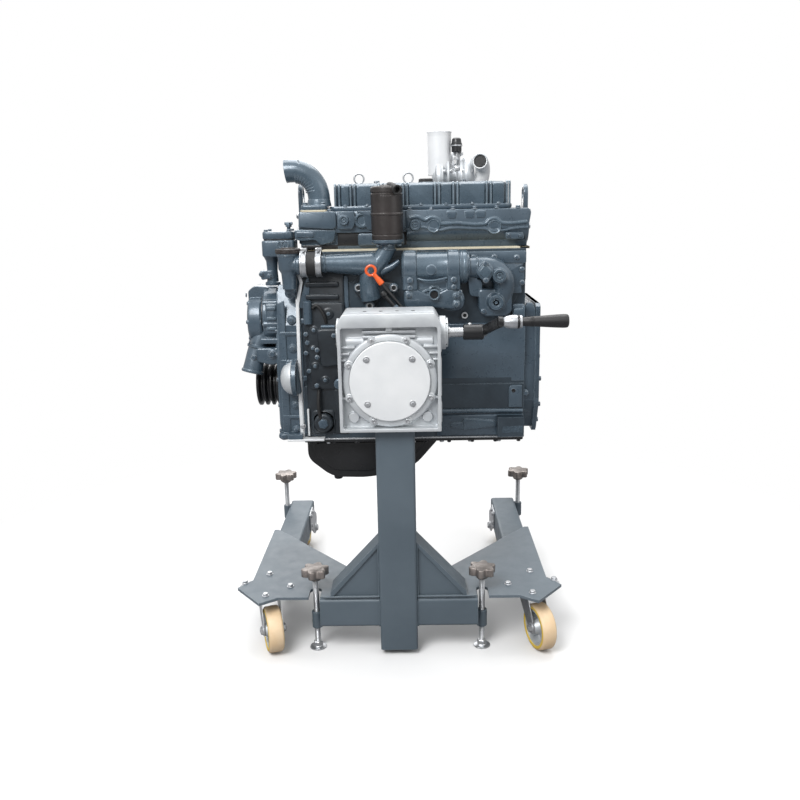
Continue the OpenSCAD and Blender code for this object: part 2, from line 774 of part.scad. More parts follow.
// Output shaft with the toothed worm wheel
module worm_wheel() placed() translate([box_shift, 0, output_z]) {
    y0 = cover_front_y + cover_t - seat_depth + gap;
    y1 = box_rear + 2 * cheek_t + flange_t;
    root = wheel_tip - wheel_tooth;
    color("#b08d4a") slab_y(worm_y - wheel_face / 2, worm_y + wheel_face / 2) {
        difference() {
            circle(root);
            circle(output_r);
        }
        for (k = [0 : wheel_teeth - 1]) rotate(360 * (k + 0.5) / wheel_teeth)
            polygon([[root - e, -wheel_tooth / 2], [wheel_tip, -wheel_tooth / 4],
                [wheel_tip, wheel_tooth / 4], [root - e, wheel_tooth / 2]]);
    }
    color(steel) bar_y(y0, y1, output_r);
}

// Worm shaft: two journals, a ribbed worm and the input stub
thread_half = 36;
thread_turns = floor(2 * thread_half / worm_pitch);
module worm_shaft() placed() translate([0, worm_y, worm_z]) color(steel) {
    bar_x(-box_w / 2 + box_shift + box_rim + gap, socket_x + socket_len - arm_t - socket_r / 2, worm_journal);
    bar_x(-seat_left + gap, seat_right - gap, worm_root);
    translate([box_shift, 0, 0]) rotate([0, 90, 0]) for (k = [0 : thread_turns - 1])
        translate([0, 0, (k - thread_turns / 2) * worm_pitch]) rotate_extrude()
            polygon([[0, 0], [worm_root, 0], [worm_tip, worm_pitch * 0.3], [worm_tip, worm_pitch * 0.55],
                [worm_root, worm_pitch * 0.85], [0, worm_pitch * 0.85]]);
}

// Crank: socket, stepped flat arm and the grip's spindle with its collar
arm_in = socket_x + socket_len - arm_t;
arm_out = arm_in + arm_step;
collar_len = 46;
collar_r = 14;
grip_x = arm_out + arm_t + collar_len + gap;
spindle_share = 0.92;
module crank_arm() placed() translate([0, worm_y, worm_z]) rotate([-arm_rise, 0, 0]) color(black) {
    difference() {
        bar_x(socket_x, socket_x + socket_len, socket_r);
        bar_x(socket_x - e, arm_in - socket_r / 2 + gap, worm_journal + fit / 3);
    }
    intersection() {
        translate([0, 0, -arm_w / 2]) linear_extrude(arm_w) polygon([
            [arm_in, arm_w], [arm_in, -arm_w / 2], [arm_out, -arm_len + arm_w / 2], [arm_out, -arm_len - arm_w],
            [arm_out + arm_t, -arm_len - arm_w], [arm_out + arm_t, -arm_len + arm_w / 2],
            [arm_in + arm_t, -arm_w / 2], [arm_in + arm_t, arm_w]
        ]);
        slab_x(arm_in - e, arm_out + arm_t + e) {
            circle(arm_w / 2);
            translate([-arm_len, 0]) circle(arm_w / 2);
            translate([-arm_len, -arm_w / 2]) square([arm_len, arm_w]);
        }
    }
    translate([0, -arm_len, 0]) {
        bar_x(arm_out + arm_t, arm_out + arm_t + collar_len, collar_r);
        bar_x(arm_out, grip_x + grip_len * spindle_share - gap, spindle_r);
    }
}

// Grip that turns on the spindle
module crank_grip() placed() translate([grip_x, grip_y, grip_z]) color(black) rotate([0, 90, 0])
    rotate_extrude() polygon([
        [spindle_r + fit, 0], [grip_r * 0.72, 0], [grip_r * 0.8, grip_len * 0.05],
        [grip_r * 0.78, grip_len * 0.3], [grip_r, grip_len * 0.75], [grip_r * 0.97, grip_len * 0.9],
        [grip_r * 0.8, grip_len * 0.98], [grip_r * 0.5, grip_len], [0, grip_len],
        [0, grip_len * spindle_share], [spindle_r + fit, grip_len * spindle_share]
    ]);

// Carrier between the gearbox and the engine block
flange_y = box_rear + 2 * cheek_t;
carrier_half = 112;
spacer_at = 56;
module engine_bracket() placed() color(paint) translate([box_shift, 0, output_z]) {
    difference() {
        bar_y(flange_y, flange_y + flange_t, flange_r);
        bar_y(flange_y - e, flange_y + flange_t + e, output_r + fit / 3);
    }
    for (x = [-1, 1], z = [-1, 1]) translate([x * spacer_at, 0, z * spacer_at])
        bar_y(flange_y + flange_t, near_y - carrier_t, spacer_r);
    slab_y(near_y - carrier_t, near_y) round_rect(2 * carrier_half, 2 * carrier_half, spacer_r);
}

// Cylinders, bearing walls and the crankcase between them
cylinders = [for (k = [-1.5, -0.5, 0.5, 1.5]) cover_mid + k * bore_pitch];
bearings = [for (k = [-2 : 2]) cover_mid + k * bore_pitch];
rail_h = 18;
rail_step = 5;
upper_z = crank_z + main_r / 2;
step_x = 35;
step_high = 81;
step_deep = 12;
foot_len = 76;
plug_r = 22;
jacket = 9;
module engine_block() placed() color(paint) difference() {
    union() {
        span([-block_front, near_y, skirt_z], [block_rear, far_y, upper_z]);
        span([-block_front, near_y + rail_step, skirt_z], [block_rear, far_y - rail_step, deck_z]);
        span([-block_front, near_y + gasket_t, deck_z - rail_h],
            [block_rear, far_y - gasket_t, deck_z]);
        span([box_shift - carrier_half, near_y, output_z - carrier_half],
            [box_shift + carrier_half, crank_y, output_z + carrier_half]);
        span([block_rear - foot_len, near_y - 2 * spacer_r, skirt_z + pan_flange],
            [block_rear - gasket_t, crank_y, skirt_z + pan_flange + 2 * carrier_half / 4]);
    }
    for (x = cylinders) translate([x, crank_y, 0]) bar_z(roof_z - e, deck_z + e, bore_r);
    difference() {
        span([cylinders[0] - bore_r - block_wall, near_y + block_wall, roof_z + 2 * rail_h],
            [cylinders[3] + bore_r + jacket / 2, far_y - block_wall, deck_z + e]);
        for (x = cylinders) translate([x, crank_y, 0]) bar_z(roof_z, deck_z + 2 * e, bore_r + jacket);
    }
    for (x = cylinders)
        span([x - bore_pitch / 2 + bulkhead_t / 2, near_y + block_wall, skirt_z - e],
            [x + bore_pitch / 2 - bulkhead_t / 2, far_y - block_wall, roof_z]);
    span([-block_front + end_wall, near_y + block_wall, skirt_z - e],
        [block_rear - end_wall, far_y - block_wall, crank_z]);
    translate([0, crank_y, crank_z]) bar_x(-block_front - e, block_rear + e, main_r + fit);
    translate([0, cam_y, cam_z]) bar_x(-block_front - e, block_rear - end_wall, cam_r + fit);
    slab_y(near_y - e, near_y + step_deep) polygon([
        [block_rear - step_x, deck_z - 2 * step_high + step_deep / 2], [block_rear + e, deck_z - step_high],
        [block_rear + e, skirt_z + 2 * step_high], [block_rear - step_x, skirt_z + 2 * step_high]
    ]);
    for (x = [cylinders[0], cylinders[3]], y = [near_y + rail_step, far_y - rail_step])
        translate([x, 0, deck_z - 2 * plug_r - rail_h]) bar_y(y - step_deep / 2, y + step_deep / 2, plug_r);
}

// Main bearing caps under the crankshaft
cap_half = 65;
cap_h = 70;
module bearing_caps() placed() color(steel) difference() {
    for (x = bearings)
        span([x - bulkhead_t / 2, crank_y - cap_half, crank_z - cap_h],
            [min(x + bulkhead_t / 2, block_rear - end_wall - gap), crank_y + cap_half, crank_z]);
    translate([0, crank_y, crank_z]) bar_x(-block_front, block_rear, main_r + fit);
}

// Cylinder head with its drawn-in lower band, exhaust ports and chambers
port_r = 18;
port_back = 30;
head_end = 12;
module cylinder_head() placed() color(paint) difference() {
    union() {
        span([-head_front, head_near + head_tuck, head_z], [head_rear, head_far, head_top]);
        span([-head_front, head_near, head_z + head_band], [head_rear, head_far, head_top]);
    }
    for (x = cylinders) translate([x, crank_y + port_back, 0]) {
        bar_z(head_z - e, head_z + head_band, port_r);
        translate([0, 0, head_z + head_band]) bar_y(0, head_w, port_r);
    }
    translate([-head_front / 2 - cover_front / 2, 0, 0]) translate([0, crank_y, head_top - head_end])
        bar_z(0, head_h, port_r);
}

module head_gasket() placed() color(gasket_cream) difference() {
    span([-head_front - gasket_proud, head_near - gasket_proud, deck_z],
        [head_rear - 2 * gasket_proud, head_far + gasket_proud, head_z]);
    for (x = cylinders) translate([x, crank_y, 0]) bar_z(deck_z - e, head_z + e, bore_r + gap);
}

// Rocker cover, hollow below, with upright scallops on its side
scallop_r = 14;
scallop_in = 4;
scallops = 9;
cover_round = 24;
module rocker_cover() placed() color(paint) translate([cover_mid, crank_y, head_top]) difference() {
    union() {
        linear_extrude(cover_h) round_rect(cover_len, cover_w, cover_round);
        linear_extrude(cast_wall * 2) round_rect(cover_len + 2 * cast_wall, cover_w + 2 * cast_wall, cover_round);
    }
    translate([0, 0, -e]) linear_extrude(cover_h - 2 * cast_wall + e)
        round_rect(cover_len - 4 * cast_wall, cover_w - 4 * cast_wall, cover_round - cast_wall);
    for (k = [0 : scallops - 1], y = [-1, 1])
        translate([(k - (scallops - 1) / 2) * cover_len / scallops, y * (cover_w / 2 + scallop_r - scallop_in), 2 * cast_wall])
            cylinder(r = scallop_r, h = cover_h);
}

// Rocker shaft on its pedestals, rocker arms and valve springs
rocker_r = 11;
rocker_rise = 34;
spring_r = 14;
spring_h = 26;
rocker_reach = 46;
valve_side = 21;
module valve_gear() placed() color(steel) translate([0, crank_y, head_top]) {
    translate([0, 0, rocker_rise]) bar_x(cylinders[0] - bore_pitch / 4, cylinders[3] + bore_pitch / 4, rocker_r);
    for (x = cylinders) {
        span([x - rocker_r, -rocker_r, 0], [x + rocker_r, rocker_r, rocker_rise]);
        for (s = [-valve_side, valve_side]) {
            translate([x + s, rocker_reach, 0]) cylinder(r = spring_r, h = spring_h);
            span([x + s - rocker_r / 2, -rocker_reach, rocker_rise - rocker_r],
                [x + s + rocker_r / 2, rocker_reach + spring_r / 2, rocker_rise + rocker_r / 2]);
            translate([x + s, -rocker_reach + rocker_r, 0]) cylinder(r = rocker_r / 2, h = rocker_rise);
        }
    }
}

// Oil pan: flange under the block and a sloping sump, open above
sump_shares = [[0, 0], [0, -0.55], [0.185, -0.98], [0.48, -1], [0.805, -0.77], [1, -0.12], [1, 0]];
sheet_share = 0.975;
sump_x = sump_len / 2 - block_front + 2;
module sump_outline() translate([-sump_len / 2, 0]) polygon(scaled(sump_shares, sump_len, sump_depth));
module oil_pan() placed() color(black) difference() {
    union() {
        span([-block_front, near_y, skirt_z - pan_flange], [block_rear, far_y, skirt_z]);
        translate([sump_x, 0, skirt_z]) slab_y(crank_y - sump_w / 2, crank_y + sump_w / 2) sump_outline();
    }
    translate([sump_x, 0, skirt_z]) slab_y(crank_y - sump_w / 2 + cast_wall, crank_y + sump_w / 2 - cast_wall)
        scale(sheet_share) sump_outline();
    span([-block_front + 2 * block_wall, near_y + 2 * block_wall, skirt_z - pan_flange / 2],
        [block_rear - 2 * block_wall, far_y - 2 * block_wall, skirt_z + e]);
}

// Gear case on the block's front, open towards the block, with the hub round the crankshaft
nose_r = 30;
hub_out_r = 52;
hub_len = 23;
case_shares = [[-0.5, 0], [0.5, 0], [0.5, 0.75], [0.36, 1], [-0.36, 1], [-0.5, 0.75]];
case_z = skirt_z + cast_wall;
case_h = deck_z - 90 - case_z;
case_wall_share = 0.955;
module gear_case() placed() color(paint) difference() {
    union() {
        translate([0, crank_y, case_z]) slab_x(-case_front, -block_front)
            polygon(scaled(case_shares, block_w, case_h));
        translate([0, crank_y, crank_z]) bar_x(-case_front - hub_len, -case_front + cast_wall, hub_out_r);
        span([-block_front - 2 * block_wall, near_y - 2 * spacer_r, case_z],
            [-block_front, near_y + block_wall, case_z + rail_h]);
    }
    translate([0, crank_y, case_z + case_h / 2]) slab_x(-case_front + cast_wall, -block_front + e)
        scale(case_wall_share) translate([0, -case_h / 2]) polygon(scaled(case_shares, block_w, case_h));
    translate([0, crank_y, crank_z]) bar_x(-case_front - hub_len - e, -block_front, nose_r + gap);
}

// Flywheel housing: a deep body and a rear plate with cut lower corners, open round the flywheel
bell_shares = [
    [-0.34, 0], [0.34, 0], [0.5, 0.25], [0.5, 0.98], [0.45, 1], [-0.45, 1], [-0.5, 0.98], [-0.5, 0.25]
];
bell_rim = 10;
bell_h = crank_z + 240 - skirt_z - gasket_t;
bell_hole = 6;
bell_hole_x = 134;
bell_hole_high = 214;
module bell_outline(inset)
    polygon(scaled(bell_shares, block_w - 2 * bell_rim - 2 * inset, bell_h - 2 * inset));
module flywheel_housing() placed() color(paint) translate([0, crank_y, skirt_z + gasket_t]) difference() {
    union() {
        slab_x(block_rear, block_rear + bell_t) translate([0, bell_rim]) bell_outline(bell_rim);
        slab_x(block_rear + bell_t - bell_plate, block_rear + bell_t) bell_outline(0);
    }
    translate([0, 0, crank_z - skirt_z - gasket_t]) {
        bar_x(block_rear - e, block_rear + bell_t + e, flywheel_r + 4);
        for (y = [-bell_hole_x, bell_hole_x]) translate([0, y, bell_hole_high])
            bar_x(block_rear + bell_t - bell_plate - e, block_rear + bell_t + e, bell_hole);
    }
}

// Coolant pump: two stacked volute bodies on the gear case, with a flared inlet below
pump_y = crank_y - 45;
pump_groove = 3;
pump_mid = pump_front - 43;
inlet_r = 25;
module coolant_pump() placed() color(paint) translate([0, pump_y, pump_z]) {
    bar_x(-pump_front, -pump_mid, pump_r);
    bar_x(-pump_mid - e, -pump_mid + pump_groove, pump_r - 2 * pump_groove);
    bar_x(-pump_mid + pump_groove, -case_front, pump_r);
    bent_pipe([[-pump_mid, -pump_r / 2, -pump_r / 2], [-pump_mid - inlet_r / 2, -pump_r * 0.7, -pump_r],
        [-pump_mid - 1.5 * inlet_r, -pump_r * 0.74, -pump_r * 1.8]], inlet_r, inlet_r * 1.2, [0, 1, 0]);
    span([-pump_mid + pump_groove, -pump_r * 0.75, -pump_r * 1.7], [-case_front, 0, -pump_r / 2]);
}

// Thermostat housing with its cap, tall neck and the cup where the hose starts
thermo_x = -312;
thermo_y = near_y + 55;
cap_len = 84;
body_h = 46;
cup_x = -278;
cup_r = 29;
tube_r = 14;
module thermostat_housing() placed() color(paint) {
    translate([thermo_x, thermo_y, deck_z - 14]) {
        linear_extrude(body_h) round_rect(cap_len + 4, cap_len, spacer_r);
        translate([0, 0, body_h]) linear_extrude(24) round_rect(cap_len, cap_len - 8, spacer_r);
        translate([-cap_len / 2 + tube_r, 0, -body_h * 1.6]) cylinder(r = tube_r, h = body_h * 1.6 + e);
    }
    span([-block_front - 30, thermo_y - tube_r, case_z + case_h + gap], [-block_front, thermo_y + tube_r, deck_z]);
    translate([cup_x, hose_y, 0]) {
        bar_z(hose_z - 9, hose_z + 37, cup_r * 0.84);
        bar_z(hose_z + 30, hose_z + 37, cup_r);
        translate([0, 0, hose_z - 68]) cylinder(r1 = tube_r, r2 = cup_r * 0.84, h = 59 + e);
        translate([0, 0, hose_z]) bar_x(0, 48, pipe_r);
    }
    span([cup_x - tube_r, hose_y, hose_z - 80], [cup_x + tube_r, near_y + rail_step, hose_z - 30]);
    span([cup_x - tube_r, hose_y, hose_z], [-block_front, thermo_y, hose_z + 30]);
}

// Rubber hose over both pipe ends
hose_x = -245;
lap = 14;
module coolant_hose() placed() color(rubber_black) translate([0, hose_y, hose_z]) difference() {
    bar_x(hose_x, hose_x + hose_len, hose_r);
    bar_x(hose_x - e, hose_x + hose_len + e, pipe_r);
}

// Tapered coolant pipe from the hose to the oil cooler
module coolant_pipe() placed() color(paint) translate([0, hose_y, hose_z]) {
    bar_x(hose_x + hose_len - lap, hose_x + hose_len + lap / 2, pipe_r);
    cone_x(hose_x + hose_len + lap / 2 - e, hose_x + hose_len + pipe_len, pipe_r * 0.9, pipe_r * 1.1);
    span([cylinders[0] + pipe_r / 2, 0, -pipe_r * 0.4], [cylinders[0] + 1.4 * pipe_r, hose_ahead + rail_step, pipe_r * 0.4]);
}

// Oil cooler's barrel with saddles and end flanges, and the filter head under it
cooler_y = near_y - cooler_ahead;
cooler_z = crank_z + cooler_rise;
saddle_w = 34;
saddle_r = 46;
end_t = 6;
head_low = 117;
lobe_z = cooler_z - cooler_r - lobe_r * 1.25;
stick_x = 16;
stick_y = near_y - 66;
stick_z = hose_z - 110;
stick_r = 3;
stick_lean = 39;
guide_len = 62;
module stick_place() translate([stick_x, stick_y, stick_z]) rotate([0, -stick_lean, 0]) children();
module oil_cooler() placed() color(paint) difference() {
    union() {
        stick_place() translate([0, 0, -cast_wall]) cylinder(r = 2 * stick_r, h = guide_len);
        span([stick_x - cast_wall, stick_y - stick_r, stick_z - 2 * cast_wall],
            [stick_x + lobe_r, cooler_y, stick_z]);
        translate([0, cooler_y, cooler_z]) {
            bar_x(cooler_x, cooler_x + cooler_len, cooler_r - 2);
            for (x = [cooler_x, cooler_x + cooler_len - end_t]) bar_x(x, x + end_t, cooler_r);
            for (x = [cooler_x + end_t * 2, cooler_x + cooler_len - 2 * end_t - saddle_w])
                bar_x(x, x + saddle_w, cooler_r);
        }
        for (x = [cooler_x + lobe_r + end_t, cooler_x + cooler_len - lobe_r - end_t])
            translate([x, 0, lobe_z]) {
                bar_y(cooler_y - lobe_r * 0.9, near_y + rail_step, lobe_r);
                span([-lobe_r, cooler_y - lobe_r * 0.6, 0], [lobe_r, near_y + rail_step, cooler_z - lobe_z]);
            }
        span([cooler_x + lobe_r, cooler_y - lobe_r / 2, lobe_z - lobe_r * 0.7],
            [cooler_x + cooler_len - lobe_r, near_y + rail_step, cooler_z]);
    }
    span([0, near_y + gasket_t, lobe_z - 2 * lobe_r], [2 * cooler_len, far_y, deck_z - rail_h / 2]);
    span([0, near_y + gasket_t, deck_z - rail_h - e], [2 * cooler_len, far_y, deck_z + cooler_r]);
    stick_place() cylinder(r = stick_r + fit, h = 2 * guide_len);
}

// Cast elbow on the cooler's right end with its plug bosses and a foot on the block
elbow_x = cooler_x + cooler_len;
boss_r = 14;
module cooler_elbow() placed() color(paint) difference() {
    union() {
        bent_pipe([[elbow_x - end_t, cooler_y, cooler_z - 8], [elbow_x + 36, cooler_y, cooler_z - 6],
            [elbow_x + 88, cooler_y, cooler_z - 4], [elbow_x + 114, cooler_y, cooler_z - 40],
            [elbow_x + 116, cooler_y + 10, cooler_z - 88]], cooler_r * 0.7, cooler_r * 0.55, [0, 1, 0]);
        translate([0, cooler_y, 0]) {
            translate([elbow_x + 90, 0, cooler_z - 27]) bar_y(-cooler_r, 0, boss_r);
            translate([elbow_x + 76, 0, lobe_z - 6]) bar_y(-cooler_r, cooler_ahead + rail_step, boss_r);
        }
        span([elbow_x + 30, cooler_y - boss_r, lobe_z - boss_r], [elbow_x + 116, near_y + rail_step, cooler_z - 20]);
        slab_x(elbow_x + 40, elbow_x + 52) translate([cooler_y, cooler_z - 12])
            round_rect(cooler_r * 2 - 2, cooler_r * 1.6, boss_r);
    }
    span([elbow_x - end_t - cooler_r, cooler_y - cooler_r, lobe_z], [elbow_x, cooler_y + cooler_r, deck_z]);
    span([elbow_x, near_y + gasket_t, lobe_z - 2 * lobe_r], [elbow_x + cooler_len, far_y, deck_z + e]);
}

// Crankcase breather: a ribbed canister on a foot, and the pipe down to the block
canister_z = head_z + 26;
canister_ribs = 5;
module breather_canister() placed() color(canister_brown) translate([canister_x, canister_y, canister_z]) {
    cylinder(r = canister_r - 3, h = canister_h - 12);
    translate([0, 0, canister_h - 12]) cylinder(r1 = canister_r, r2 = canister_r - 8, h = 12);
    for (k = [0 : canister_ribs - 1]) translate([0, 0, k * canister_h / (canister_ribs + 1)])
        cylinder(r = canister_r, h = canister_h / 16);
    translate([canister_r * 0.6, 0, canister_h - 10]) rotate([0, 90, 0]) cylinder(r = 8, h = canister_r * 0.7);
}
pipe_flange_t = 10;
breather_shares = [[-0.62, 0.2], [0.57, 0.16], [0.57, -0.2], [0.1, -0.6], [-0.3, -0.6], [-0.75, -0.05]];
breather_w = 125;
breather_h = 76;
module breather_pipe() placed() color(paint) {
    x = canister_x;
    difference() {
        union() {
            bent_pipe([[x, canister_y, canister_z - pipe_flange_t], [x - 6, canister_y, canister_z - 40],
                [x - 28, canister_y, canister_z - 72], [x - 50, canister_y + 10, canister_z - 118]],
                breather_r, breather_r * 1.25, [0, 1, 0]);
            translate([x - 30, near_y, canister_z - 140]) slab_y(-pipe_flange_t * 2, rail_step)
                polygon(scaled(breather_shares, breather_w, breather_h));
        }
        span([x - breather_w, near_y + gasket_t, canister_z - 2 * breather_w], [x + breather_w, far_y, deck_z + e]);
    }
    translate([x, canister_y, canister_z - pipe_flange_t]) cylinder(r = canister_r, h = pipe_flange_t);
    span([x - breather_r, canister_y, canister_z - pipe_flange_t], [x + breather_r, head_near + head_tuck, canister_z]);
}

// Outlet elbow on the head's front end; its mouth is a spigot for a hose
outlet_x = -205;
outlet_y = head_near + 47;
outlet_z = head_top + elbow_rise;
outlet_flange = 19;
spigot_len = 26;
bead = 1.5;
module outlet_elbow() placed() color(paint) translate([0, outlet_y, 0]) difference() {
    union() {
        translate([outlet_x, 0, head_top]) linear_extrude(outlet_flange)
            round_rect(elbow_r * 1.95, 3 * elbow_r, cast_wall * 2);
        bent_pipe([[outlet_x, 0, head_top + cast_wall], [outlet_x, 0, outlet_z - 2.2 * elbow_r],
            [outlet_x - 0.58 * elbow_r, 0, outlet_z - 0.58 * elbow_r], [outlet_x - 1.78 * elbow_r, 0, outlet_z],
            [-elbow_reach + spigot_len / 2, 0, outlet_z]], elbow_r - bead, elbow_r - bead, [0, 1, 0], 16, 3);
        translate([0, 0, outlet_z]) bar_x(-elbow_reach, -elbow_reach + spigot_len, elbow_r);
    }
    translate([0, 0, outlet_z]) bar_x(-elbow_reach - e, -elbow_reach + spigot_len * 0.8, elbow_r - cast_wall);
}

// Lifting eyes at both ends of the head
eye_t = 12;
eye_w = 54;
eye_hole = 14;
module lifting_eye(x, h) translate([0, crank_y, head_top]) slab_x(x, x + eye_t) difference() {
    union() {
        translate([-eye_w / 2, -head_end]) square([eye_w, h - eye_w / 2 + head_end]);
        translate([0, h - eye_w / 2]) circle(eye_w / 2);
    }
    translate([0, h - eye_w / 2]) circle(eye_hole);
}
module lifting_eyes() placed() color(paint) {
    lifting_eye(-head_front - eye_t, cover_h + 4);
    lifting_eye(head_rear, cover_h - 8);
}

// Exhaust manifold: a log along the head's far side with four ports and the turbocharger's foot
log_y = head_far + port_r + log_r + cast_wall;
log_z = head_z + head_band;
module exhaust_manifold() placed() color("#5a4a42") {
    translate([0, log_y, log_z]) bar_x(cylinders[0] - port_r, cylinders[3] + port_r, log_r);
    for (x = cylinders) translate([x, 0, log_z]) {
        bar_y(head_far, log_y, port_r * 1.2);
        slab_y(head_far, head_far + 10) round_rect(80, 70, 10);
    }
    translate([turbine_x, log_y, log_z]) bar_z(0, turbo_z - volute_r - log_z, port_r * 1.4);
}

// Turbocharger: compressor and turbine volutes, upright duct, actuator and outlet tube
turbo_z = crank_z + turbo_rise;
turbo_y = crank_y + turbo_back;
compressor_x = 136;
turbine_x = 218;
volute_w = 44;
wheel_room = 36;
wheel_half = 14;
duct_top = turbo_z + 130;
duct_grip = 60;
module turbocharger() placed() color(cast_alu) translate([0, turbo_y, turbo_z]) difference() {
    union() {
        for (x = [compressor_x, turbine_x]) bar_x(x - volute_w / 2, x + volute_w / 2, volute_r - 6);
        for (x = [compressor_x, turbine_x]) bar_x(x - volute_w / 4, x + volute_w / 4, volute_r);
        bar_x(compressor_x, turbine_x, volute_r / 2);
        translate([compressor_x, 0, duct_top - turbo_z]) {
            bar_z(-duct_grip, 0, duct_r);
            bar_z(turbo_z - duct_top, -duct_grip, duct_r + 1.5);
        }
        translate([turbine_x, log_y - turbo_y, 0]) bar_z(-volute_r, 0, port_r * 1.4);
        translate([192, -30, 92]) cylinder(r = 14, h = 22);
        translate([192, -30, 0]) cylinder(r = 5, h = 94);
        bent_pipe([[turbine_x, 0, 0], [262, -24, -20], [258, -44, 20], [254, -66, 52]],
            duct_r * 0.6, duct_r * 0.6, [1, 0, 0]);
    }
    for (x = [compressor_x, turbine_x]) bar_x(x - wheel_half, x + wheel_half, wheel_room);
    bar_x(compressor_x, turbine_x, rotor_r + fit);
    translate([compressor_x, 0, 0]) bar_z(0, duct_top - turbo_z + e, duct_r - cast_wall);
}

// Turbocharger rotor with both wheels
blades = 7;
module turbo_rotor() placed() color(steel) translate([0, turbo_y, turbo_z]) {
    bar_x(compressor_x - wheel_half / 2, turbine_x + wheel_half / 2, rotor_r);
    for (s = [[compressor_x, 1], [turbine_x, -1]]) translate([s[0], 0, 0]) {
        cone_x(-wheel_half * 0.8, wheel_half * 0.8, s[1] > 0 ? rotor_r * 1.4 : wheel_room * 0.7,
            s[1] > 0 ? wheel_room * 0.7 : rotor_r * 1.4);
        for (k = [0 : blades - 1]) rotate([360 * k / blades, 0, 0])
            span([-wheel_half * 0.7, -1.5, rotor_r / 2], [wheel_half * 0.7, 1.5, wheel_room - 3 * gap]);
    }
}

// Bolts of the engine, hose clamps and plugs
clamp_w = 15;
bolt_r = 8;
module engine_fasteners() placed() {
    color(zinc) {
        translate([0, hose_y, hose_z]) for (x = [hose_x, hose_x + hose_len - clamp_w]) {
            difference() {
                bar_x(x, x + clamp_w, hose_r + 2);
                bar_x(x - e, x + clamp_w + e, hose_r);
            }
            translate([x, -bolt_r, hose_r]) cube([clamp_w, 2 * bolt_r, bolt_r]);
        }
        for (x = [-spacer_at, spacer_at], z = [-spacer_at, spacer_at])
            translate([box_shift + 1.6 * x, near_y - carrier_t, output_z + 1.6 * z])
                rotate([90, 0, 0]) hex_head(1.2 * bolt_r, bolt_r);
    }
    color(steel) {
        for (x = [-1, 1]) translate([cover_mid + x * cover_len / 4, crank_y, head_top + cover_h])
            hex_head(bolt_r, bolt_r);
        for (k = [-3 : 3], y = [near_y + 1.5 * bolt_r, far_y - 1.5 * bolt_r])
            translate([block_mid + k * bore_pitch * 0.62, y, skirt_z - pan_flange]) rotate([180, 0, 0])
                hex_head(bolt_r * 0.8, bolt_r * 0.7);
    }
}

// Crankshaft: journals, webs with counterweights, timing gear and nose
web_gap = bore_pitch / 2 - bulkhead_t;
nose_end = case_front + pulley_len * 0.9;
gear_x = block_front + 2 * cast_wall + gear_face / 2;
module tooth(r) {
    p = PI * gear_module;
    polygon([[r - 1.6 * gear_module, -p * 0.33], [r - 1.1 * gear_module, -p * 0.33], [r, -p * 0.21],
        [r + 0.8 * gear_module, -p * 0.1], [r + 0.8 * gear_module, p * 0.1], [r, p * 0.21],
        [r - 1.1 * gear_module, p * 0.33], [r - 1.6 * gear_module, p * 0.33]]);
}
module timing_gear(teeth, start) {
    r = teeth * gear_module / 2;
    circle(r - 1.1 * gear_module);
    for (k = [0 : teeth - 1]) rotate(start + 360 * k / teeth) tooth(r);
}
mesh_at = 180 - cam_angle;
module web_outline(up) {
    circle(main_r + 8);
    translate([0, up * throw_r]) circle(pin_r + 8);
    translate([-pin_r - 8, min(0, up * throw_r)]) square([2 * pin_r + 16, throw_r]);
    intersection() {
        circle(weight_r);
        translate([-weight_r, up > 0 ? -weight_r : main_r / 4]) square([2 * weight_r, weight_r - main_r / 4]);
    }
}
module crankshaft() placed() color(steel) translate([0, crank_y, crank_z]) {
    for (i = [0 : 3]) translate([cylinders[i], 0, 0]) {
        for (x = [-web_gap, web_gap - web_t]) slab_x(x, x + web_t) web_outline(throws[i]);
        translate([0, 0, throws[i] * throw_r]) bar_x(-web_gap + web_t - e, web_gap - web_t + e, pin_r);
    }
    for (x = bearings) bar_x(x - bulkhead_t - e, min(x + bulkhead_t + e, block_rear), main_r);
    bar_x(bearings[4], block_rear + fly_gap, main_r);
    bar_x(-nose_end, bearings[0], nose_r);
    slab_x(-gear_x - gear_face / 2, -gear_x + gear_face / 2) timing_gear(crank_teeth, mesh_at);
}

// Belt pulley with three grooves
module crank_pulley() placed() color(black) translate([-case_front - hub_len / 2, crank_y, crank_z]) {
    rotate([0, -90, 0]) difference() {
        rotate_extrude() polygon(concat([[nose_r, hub_len / 2 + 2], [pulley_r, hub_len / 2 + 2]],
            [for (k = [0 : 2]) let (z = hub_len / 2 + 8 + k * pulley_len / 3.4) for (q = [
                [pulley_r, z], [pulley_r - groove_depth, z + 5], [pulley_r - groove_depth, z + 9], [pulley_r, z + 14]]) q],
            [[pulley_r, pulley_len], [nose_r + 12, pulley_len], [nose_r + 12, pulley_len - 10], [0, pulley_len - 10],
                [0, nose_end - case_front - hub_len / 2], [nose_r, nose_end - case_front - hub_len / 2]]));
    }
}

// Flywheel with the clutch's six bolt holes
fly_gap = (bell_t - bell_plate - flywheel_t) / 2;
clutch_pcr = 96;
clutch_hole = 5.5;
clutch_holes = 6;
module flywheel() placed() color(steel) translate([0, crank_y, crank_z]) difference() {
    bar_x(block_rear + fly_gap, block_rear + fly_gap + flywheel_t, flywheel_r);
    bar_x(block_rear + fly_gap + flywheel_t / 2, block_rear + bell_t, flywheel_r * 0.6);
    for (k = [0 : clutch_holes - 1]) rotate([360 * k / clutch_holes, 0, 0]) translate([0, 0, clutch_pcr])
        bar_x(block_rear, block_rear + bell_t, clutch_hole);
}

